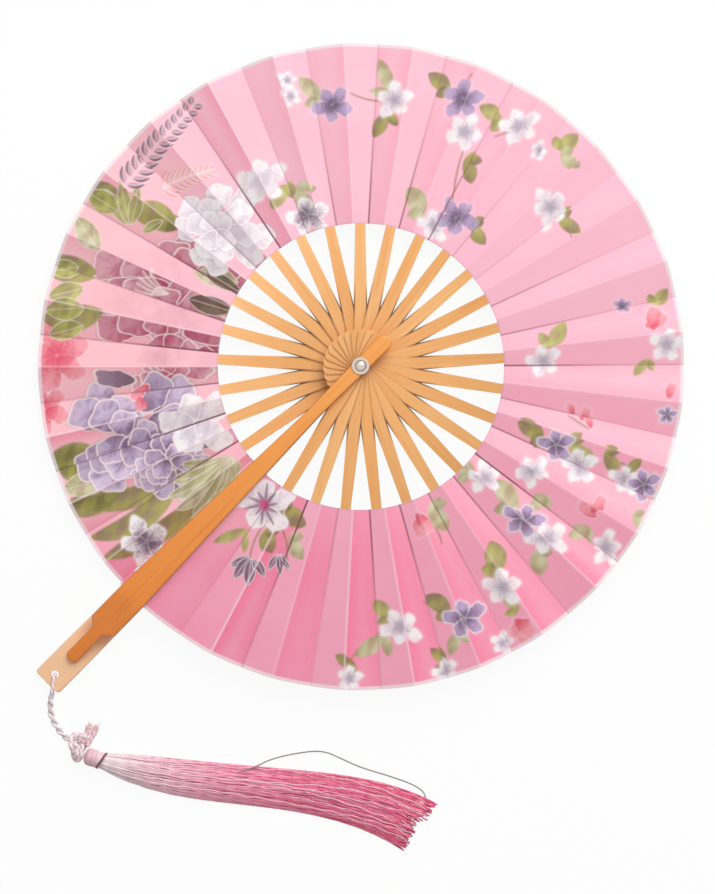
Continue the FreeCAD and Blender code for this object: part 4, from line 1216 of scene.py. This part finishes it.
def print_bloom(place, size, turn, tones, line, squash=0.72, strength=0.95):
    """A layered bloom: rings of broad petals from the outside in, each petal of its own length and tone."""
    for count, start, length, wide in BLOOM_RINGS:
        for k in range(count):
            way = turn + (k + 0.5 * (count % 4)) * 2 * math.pi / count + 0.25 * math.sin(3.1 * k + size)
            fit = size * math.hypot(math.cos(way), squash * math.sin(way))
            fit *= 1 + 0.16 * math.sin(5.3 * k + count)
            glow = 0.5 + 0.5 * math.sin(2.3 * k + count + size)
            shades = (tones[0], mix(*tones, 0.55 + 0.45 * glow))
            broad = wide * size * (0.4 + 0.6 * squash)
            print_petal(place, way, start * fit, length * fit, broad, shades, 0.07, line,
                        0.6 * tones[0], strength)


def print_spray(place, turn, length, pairs, size, tones, line):
    """A thin stem with pairs of leaves that get shorter towards its tip."""
    way = np.array([math.cos(turn), math.sin(turn)])
    for k in range(pairs):
        root = np.array(place) + way * length * (k + 0.3) / pairs
        reach = size * (1.15 - 0.6 * k / pairs)
        for side in (1, -1):
            print_leaf(root, turn + 0.9 * side, reach, 0.34 * size, tones, 0.12 * size * side, soft=0.6)
            print_leaf(root, turn + 0.75 * side, 1.1 * reach, 0.9, (line, line), 0.14 * size * side, 0.1)
    print_leaf(place, turn, 1.04 * length, 0.9, (line, line), power=0.1)


print("petals of a bloom:", sum(ring[0] for ring in BLOOM_RINGS))

# %% Colours of the print
# Most inks come in two tones, deep at a motif's root and pale at its rim.
CREAM = linear("#FDE9E4")
SNOW = linear("#FBF3F5")
OLIVE = (linear("#83842E"), linear("#C3C36A"))
MOSS = (linear("#6A681E"), linear("#A9A748"))
SAGE = (linear("#9C9A5E"), linear("#D5D6AC"))
BARK = (linear("#33240C"), linear("#6E6230"))
LILAC = (linear("#72577E"), linear("#DCC8E4"))
VIOLET = (linear("#5C4577"), linear("#BAA3CB"))
PLUM = (linear("#45304C"), linear("#8A7189"))
PEARL = (linear("#D3C7D2"), linear("#FCF7F8"))
ROSE = (linear("#B43A62"), linear("#E2A9B5"))
CORAL = (linear("#E03A5A"), linear("#F79AA6"))
print("two-toned inks:", len((OLIVE, MOSS, SAGE, BARK, LILAC, VIOLET, PLUM, PEARL, ROSE, CORAL)))

# %% Blooms on the left
ON_FALLS = np.where(falling, 0.95, 0.06)
print_blossom((-170, 6), 19, 0.5, CORAL, CORAL[0])
print_blossom((-177, -24), 14, 0.9, CORAL, CORAL[0])
print_bloom((-104, 44), 56, 0.3, ROSE, CREAM, 0.5, ON_FALLS)
print_bloom((-110, 18), 46, 0.9, ROSE, CREAM, 0.5, ON_FALLS)
print_bloom((-108, -4), 28, 0.2, ROSE, CREAM, 0.5, ON_FALLS)
print_leaves([
    (-130, 88, 5.95, 30, 15, 2), (-120, 84, 6.2, 20, 10, -2), (-84, 70, 3.9, 16, 9, 1),
    (-150, -44, 3.5, 26, 15, 2), (-146, -54, 3.2, 28, 17, -2), (-152, -62, 2.9, 18, 10),
    (-146, 52, 3.0, 34, 15), (-144, 31, 3.25, 36, 15, 2), (-134, 92, 2.7, 24, 14),
    (-134, -66, 3.55, 40, 15, 3)], MOSS)
print_leaves([
    (-132, 80, 2.13, 24, 8), (-131, 80, 1.75, 25, 8), (-130, 80, 1.3, 22, 8), (-137, 88, 2.6, 20, 13),
    (-156, 55, 3.2, 18, 10), (-155, 44, 3.4, 20, 12), (-155, 33, 3.2, 22, 13), (-156, 23, 3.4, 20, 11),
    (-124, 76, 0.5, 14, 6)], OLIVE, line=CREAM)
print_leaves([
    (-146, 64, 2.15, 24, 12), (-70, 48, 2.9, 24, 12), (-140, -62, 3.4, 28, 14)], SAGE, line=CREAM, veins=4)
print_leaves([(-70, 30, 2.85, 26, 11), (-68, 42, 2.6, 24, 8), (-72, 62, 2.5, 20, 9)], BARK, line=CREAM)
print_bloom((-80, 76), 28, 0.8, PEARL, SNOW, 0.85)
print_leaves([
    (-102, -60, 3.42, 64, 12, 6), (-102, -62, 3.75, 60, 13, 7), (-90, -78, 3.65, 62, 13, 2)], MOSS, power=0.6)
print_bloom((-130, -39), 45, 0.5, LILAC, CREAM, 0.7)
print_bloom((-108, -53), 30, 1.1, LILAC, CREAM, 0.7)
for turn, length, wide in ((4.3, 20, 18), (0.6, 22, 17), (1.9, 15, 16), (3.2, 20, 15), (5.5, 22, 19)):
    print_petal((-92, -30), turn, 0, length, wide, PEARL, 0.07, SNOW)
print_petal((-127, -8), 3.05, 0, 24, 13, PLUM, 0.08, CREAM)
print_petal((-120, -10), 3.9, 0, 12, 9, CORAL, 0.05, CREAM)
print_petal((-124, -17), 4.9, 0, 8, 8, CORAL, 0.05)
for turn, length in ((3.3, 30), (3.5, 36), (3.7, 42), (3.9, 44), (4.1, 40), (4.3, 34), (4.5, 28)):
    print_leaf((-72, -51), turn, length, 9, SAGE, 3, 0.5, CREAM)
for turn in (2.2, 2.4, 2.6, 2.8, 3.0):
    print_leaf((-106, 40), turn, 19, 1.0, (CREAM, CREAM), 1.5, 0.12)
print_blossom((-121, -99), 14, 0.7, (LILAC[0], PEARL[1]), PLUM[0], SNOW)
print_spray((-132, 101), 0.87, 63, 13, 9, (PLUM[0], 0.6 * PLUM[1]), linear("#F3D3E0"))
print_spray((-111, 100), 0.35, 30, 9, 8, (linear("#EE8F9C"), linear("#F5A9B0")), CREAM)
print("blooms laid on the left")

# %% Stems, leaves and buds on the rest
STEM = linear("#8F7440")
for x, y, turn, length, bend in (
        (20, 149, 3.0, 26, 2), (57, 150, 1.2, 14, 1), (58, 122, 4.55, 36, -2), (88, 136, 3.6, 14, 1),
        (106, 89, 5.4, 22, 2), (20, -146, 3.7, 30, -3), (58, -140, 2.7, 26, 3), (78, -122, 2.0, 20, 2),
        (-50, -84, 4.3, 30, -3), (-46, -88, 4.9, 26, 2), (118, -28, 5.7, 14, 0), (90, -84, 2.4, 16, 1),
        (109, -44, 2.6, 18, 1), (-16, 148, 2.4, 16, 1), (34, -82, 5.3, 20, 2)):
    print_leaf((x, y), turn, length, 0.9, (STEM, STEM), bend, 0.12)
for x, y, turn, length, wide in (
        (17, 153, 1.9, 20, 8), (15, 142, 4.2, 16, 8), (50, 155, 2.5, 15, 9), (60, 118, 4.9, 15, 9),
        (80, 139, 2.7, 15, 9), (112, 122, 0.7, 14, 9), (113, 120, 5.5, 13, 8), (112, 84, 5.7, 15, 8),
        (36, 86, 2.2, 17, 11), (62, 80, 5.4, 14, 8), (104, 10, 1.0, 17, 9), (102, -38, 2.7, 16, 10),
        (116, -44, 5.7, 19, 9), (136, -48, 5.3, 16, 8), (86, -78, 2.2, 20, 11), (98, -102, 4.9, 15, 10),
        (78, -114, 1.9, 18, 12), (50, -136, 2.6, 16, 10), (54, -148, 4.4, 14, 7), (14, -150, 3.7, 20, 9),
        (17, -140, 2.4, 14, 8), (38, -78, 5.4, 17, 10), (-46, -82, 5.9, 17, 11), (-54, -92, 5.0, 14, 9),
        (-40, -96, 5.3, 14, 8), (-36, 98, 5.3, 19, 9), (-42, 102, 4.2, 16, 9), (-22, 150, 2.4, 17, 9),
        (164, 34, 0.9, 12, 7), (161, 4, 4.0, 12, 6), (128, -90, 3.4, 14, 7), (148, -60, 0.8, 12, 6),
        (62, -60, 2.4, 15, 9), (88, -136, 2.3, 13, 7), (-2, -168, 2.6, 14, 7), (48, -164, 2.4, 13, 6),
        (150, -82, 5.4, 12, 6), (104, -72, 3.6, 13, 7), (-64, -92, 3.5, 20, 6)):
    tones = (OLIVE, MOSS, SAGE)[int(x + y) % 3]
    print_leaf((x, y), turn, length, wide, tones)
    print_leaf((x, y), turn + 1.15, 0.6 * length, 0.7 * wide, tones)
for x, y, turn, size in (
        (119, -27, 2.0, 7), (126, -31, 1.6, 8), (131, -35, 1.9, 7), (158, 22, 0.5, 13), (162, 20, 1.5, 13),
        (172, -18, 1.2, 9), (34, -82, 4.6, 13), (31, -82, 5.4, 12), (131, -84, 2.4, 12), (129, -82, 1.2, 11),
        (90, -142, 4.9, 14), (94, -141, 3.9, 13), (86, -141, 5.6, 13), (146, -62, 1.6, 7)):
    print_petal((x, y), turn, 0, size, 0.75 * size, CORAL, 0.05, None, SNOW)
print("leaves and buds laid on")

# %% Small blossoms on the rest
DUSK = linear("#9484A0")
for x, y, size, turn in (
        (19, 149, 10, 0.3), (58, 131, 10, 1.0), (89, 135, 10.5, 0.5), (100, 121, 5, 0.1),
        (106, 89, 10.5, 0.8), (41, 79, 8.5, 0.4), (171, 12, 9.5, 0.2), (102, 3, 9, 0.6), (121, -55, 10, 0.3),
        (95, -58, 9, 0.9), (68, -61, 9, 0.5), (147, -63, 8, 0.2), (103, -95, 10.5, 0.7), (137, -101, 9, 0.1),
        (79, -123, 10.5, 0.4), (22, -145, 10.5, 0.9), (79, -154, 6.5, 0.2), (47, -169, 7, 0.6),
        (-6, -173, 7, 0.3), (-41, 160, 5, 0.2), (-39, 151, 5.5, 0.7)):
    print_blossom((x, y), size, turn, PEARL, DUSK)
for x, y, size, turn in (
        (57, 149, 11, 0.2), (54, 84, 11, 0.8), (109, -44, 9.5, 0.4), (90, -85, 10.5, 0.1),
        (58, -140, 11.5, 0.6), (-16, 147, 10.5, 0.9), (146, 34, 4.5, 0.3), (158, -66, 9, 0.5),
        (171, -27, 5.5, 0.2)):
    print_blossom((x, y), size, turn, VIOLET, PLUM[0], SNOW if y < 0 else None)
print_blossom((-55, 104), 13, 0.5, PEARL, PEARL[0], None)
print_blossom((-54, -78), 15.5, 0.35, (PEARL[0], SNOW), linear("#C23A6C"), SNOW, 0.1)
for k in range(10):
    print_leaf((-54, -78), 0.2 + 0.628 * k, 8 + 2 * (k % 3), 1.3, PLUM, power=0.5)
print_petal((-51, -78), math.pi, 0, 6, 6, (linear("#C23A6C"), linear("#D8507F")), 0.1)
print_blossom((-29, 83), 11, 0.6, (LILAC[0], PEARL[1]), PLUM[0], SNOW, 0.28)
for x, y, turn, size in (
        (-62, -106, 3.6, 12), (-62, -106, 4.1, 15), (-61, -107, 4.6, 16), (-60, -107, 5.2, 13),
        (-47, -106, 4.2, 10), (-46, -106, 4.8, 11), (-45, -106, 5.4, 9)):
    print_leaf((x, y), turn, size, 0.4 * size, PLUM, line=SNOW, soft=0.9)
print("blossoms laid on")

# %% [markdown]
# ## Hem, folds and the silk itself
# A narrow pale hem runs round the outside, and the inner edge has a thin greyer line of painted shade. A
# raised fold has a painted highlight, and a sunk fold a thin dark line of painted shade, which is deeper near
# the ribs and differs from fold to fold.
# The cloth is a plain-woven viscose silk: its threads are about 0.15 mm apart, which is far under a pixel, so
# the weave is drawn as slubs half a millimetre wide and 9 mm long.

# %% Hem and folds
HEM = 1.7
wash(0.75 * ramp(LEAF_OUTER - HEM - 0.5, LEAF_OUTER - HEM + 0.3, reach), "#F5EBEF")
# Painted shade along the inner edge.
wash(0.4 * ramp(LEAF_INNER + 1.2, LEAF_INNER + 0.5, reach), "#C9A3AE")
# Painted highlight along each raised fold, stronger lower down.
wash((0.3 + 0.45 * lower) * press * ramp(0.9, 0.2, np.abs(past_ridge + 0.3)), "#FFE2EA")
# Painted shade: a thin dark line along each sunk fold, stronger towards the inner edge.
crease_shade = np.clip(press * (1.3 - 0.85 * ramp(90, 150, reach)), 0, 1)
wash(crease_shade * ramp(0.8, 0.1, np.abs(past_valley)), "#6A2440")
print_colours = np.clip(paint, 0, 1).reshape(len(gores), LEAF_ROWS * columns, 3)
silk[..., 2] += 0.1 * ramp(LEAF_OUTER - HEM - 0.3, LEAF_OUTER - HEM + 0.3, reach)
print("hem of", HEM, "mm and", 2 * RIB_COUNT, "folds shaded")

# %% Printed silk
SLUB_WIDE = 0.5
SLUB_LONG = 9.0
silk_finish, tree = new_finish("printed_viscose_silk")
dye = add_node(tree, "ShaderNodeVertexColor", layer_name="print")
flat = add_node(tree, "ShaderNodeUVMap", uv_map="warp_and_weft")
slub = add_node(tree, "ShaderNodeMapping", {
    "Vector": flat.outputs[0], "Scale": (SLUB_WIDE * MM, SLUB_LONG * MM, 1)}, vector_type="TEXTURE")
weave = add_node(tree, "ShaderNodeTexNoise", {"Vector": slub.outputs[0], "Scale": 1.0, "Detail": 2.0})
worn = add_node(tree, "ShaderNodeMapRange", {0: weave.outputs[0], 1: 0.25, 2: 0.75, 3: 0.0, 4: 0.08})
ink = add_node(tree, "ShaderNodeMix", {
    0: worn.outputs[0], 6: dye.outputs[0], 7: opaque("#FFE3EC")}, data_type="RGBA")
under = add_node(tree, "ShaderNodeMapRange", {0: upward(tree), 1: -0.2, 2: 0.2, 3: 0.5, 4: 0.0})
both = add_node(tree, "ShaderNodeMix", {
    0: under.outputs[0], 6: ink.outputs[2], 7: opaque("#F9CBDA")}, data_type="RGBA")
dull = add_node(tree, "ShaderNodeMapRange", {0: weave.outputs[0], 3: 0.5, 4: 0.68})
relief = add_node(tree, "ShaderNodeBump", {
    "Height": weave.outputs[0], "Strength": 0.2, "Distance": 0.05 * MM})
shader = add_node(tree, "ShaderNodeBsdfPrincipled", {
    "Base Color": both.outputs[2], "Roughness": dull.outputs[0], "Normal": relief.outputs[0],
    "IOR": 1.5, "Specular IOR Level": 0.3, "Sheen Weight": 0.04, "Sheen Roughness": 0.5})
add_node(tree, "ShaderNodeOutputMaterial", {"Surface": shader.outputs[0]})
print("silk finish:", silk_finish.name)


faces = grid_faces(LEAF_ROWS, columns)
for number, grid in enumerate(silk):
    piece = make_piece(f"leaf_gore_{number + 1:02d}", grid, faces, silk_finish,
                       closed=False, smooth=False)
    colour_points(piece, "print", print_colours[number])
    span = (angles[number] - angles[number][:, :1]) * reach[number]
    map_points(piece, "warp_and_weft", np.stack([span, reach[number]], -1) * MM)
    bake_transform(piece)
    share = turns[number].ravel().astype(np.float32)
    body = piece.modifiers.new("cloth_thickness", "SOLIDIFY")
    body.thickness = LEAF_THICK * MM
    body.offset = 1
    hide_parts("leaf")
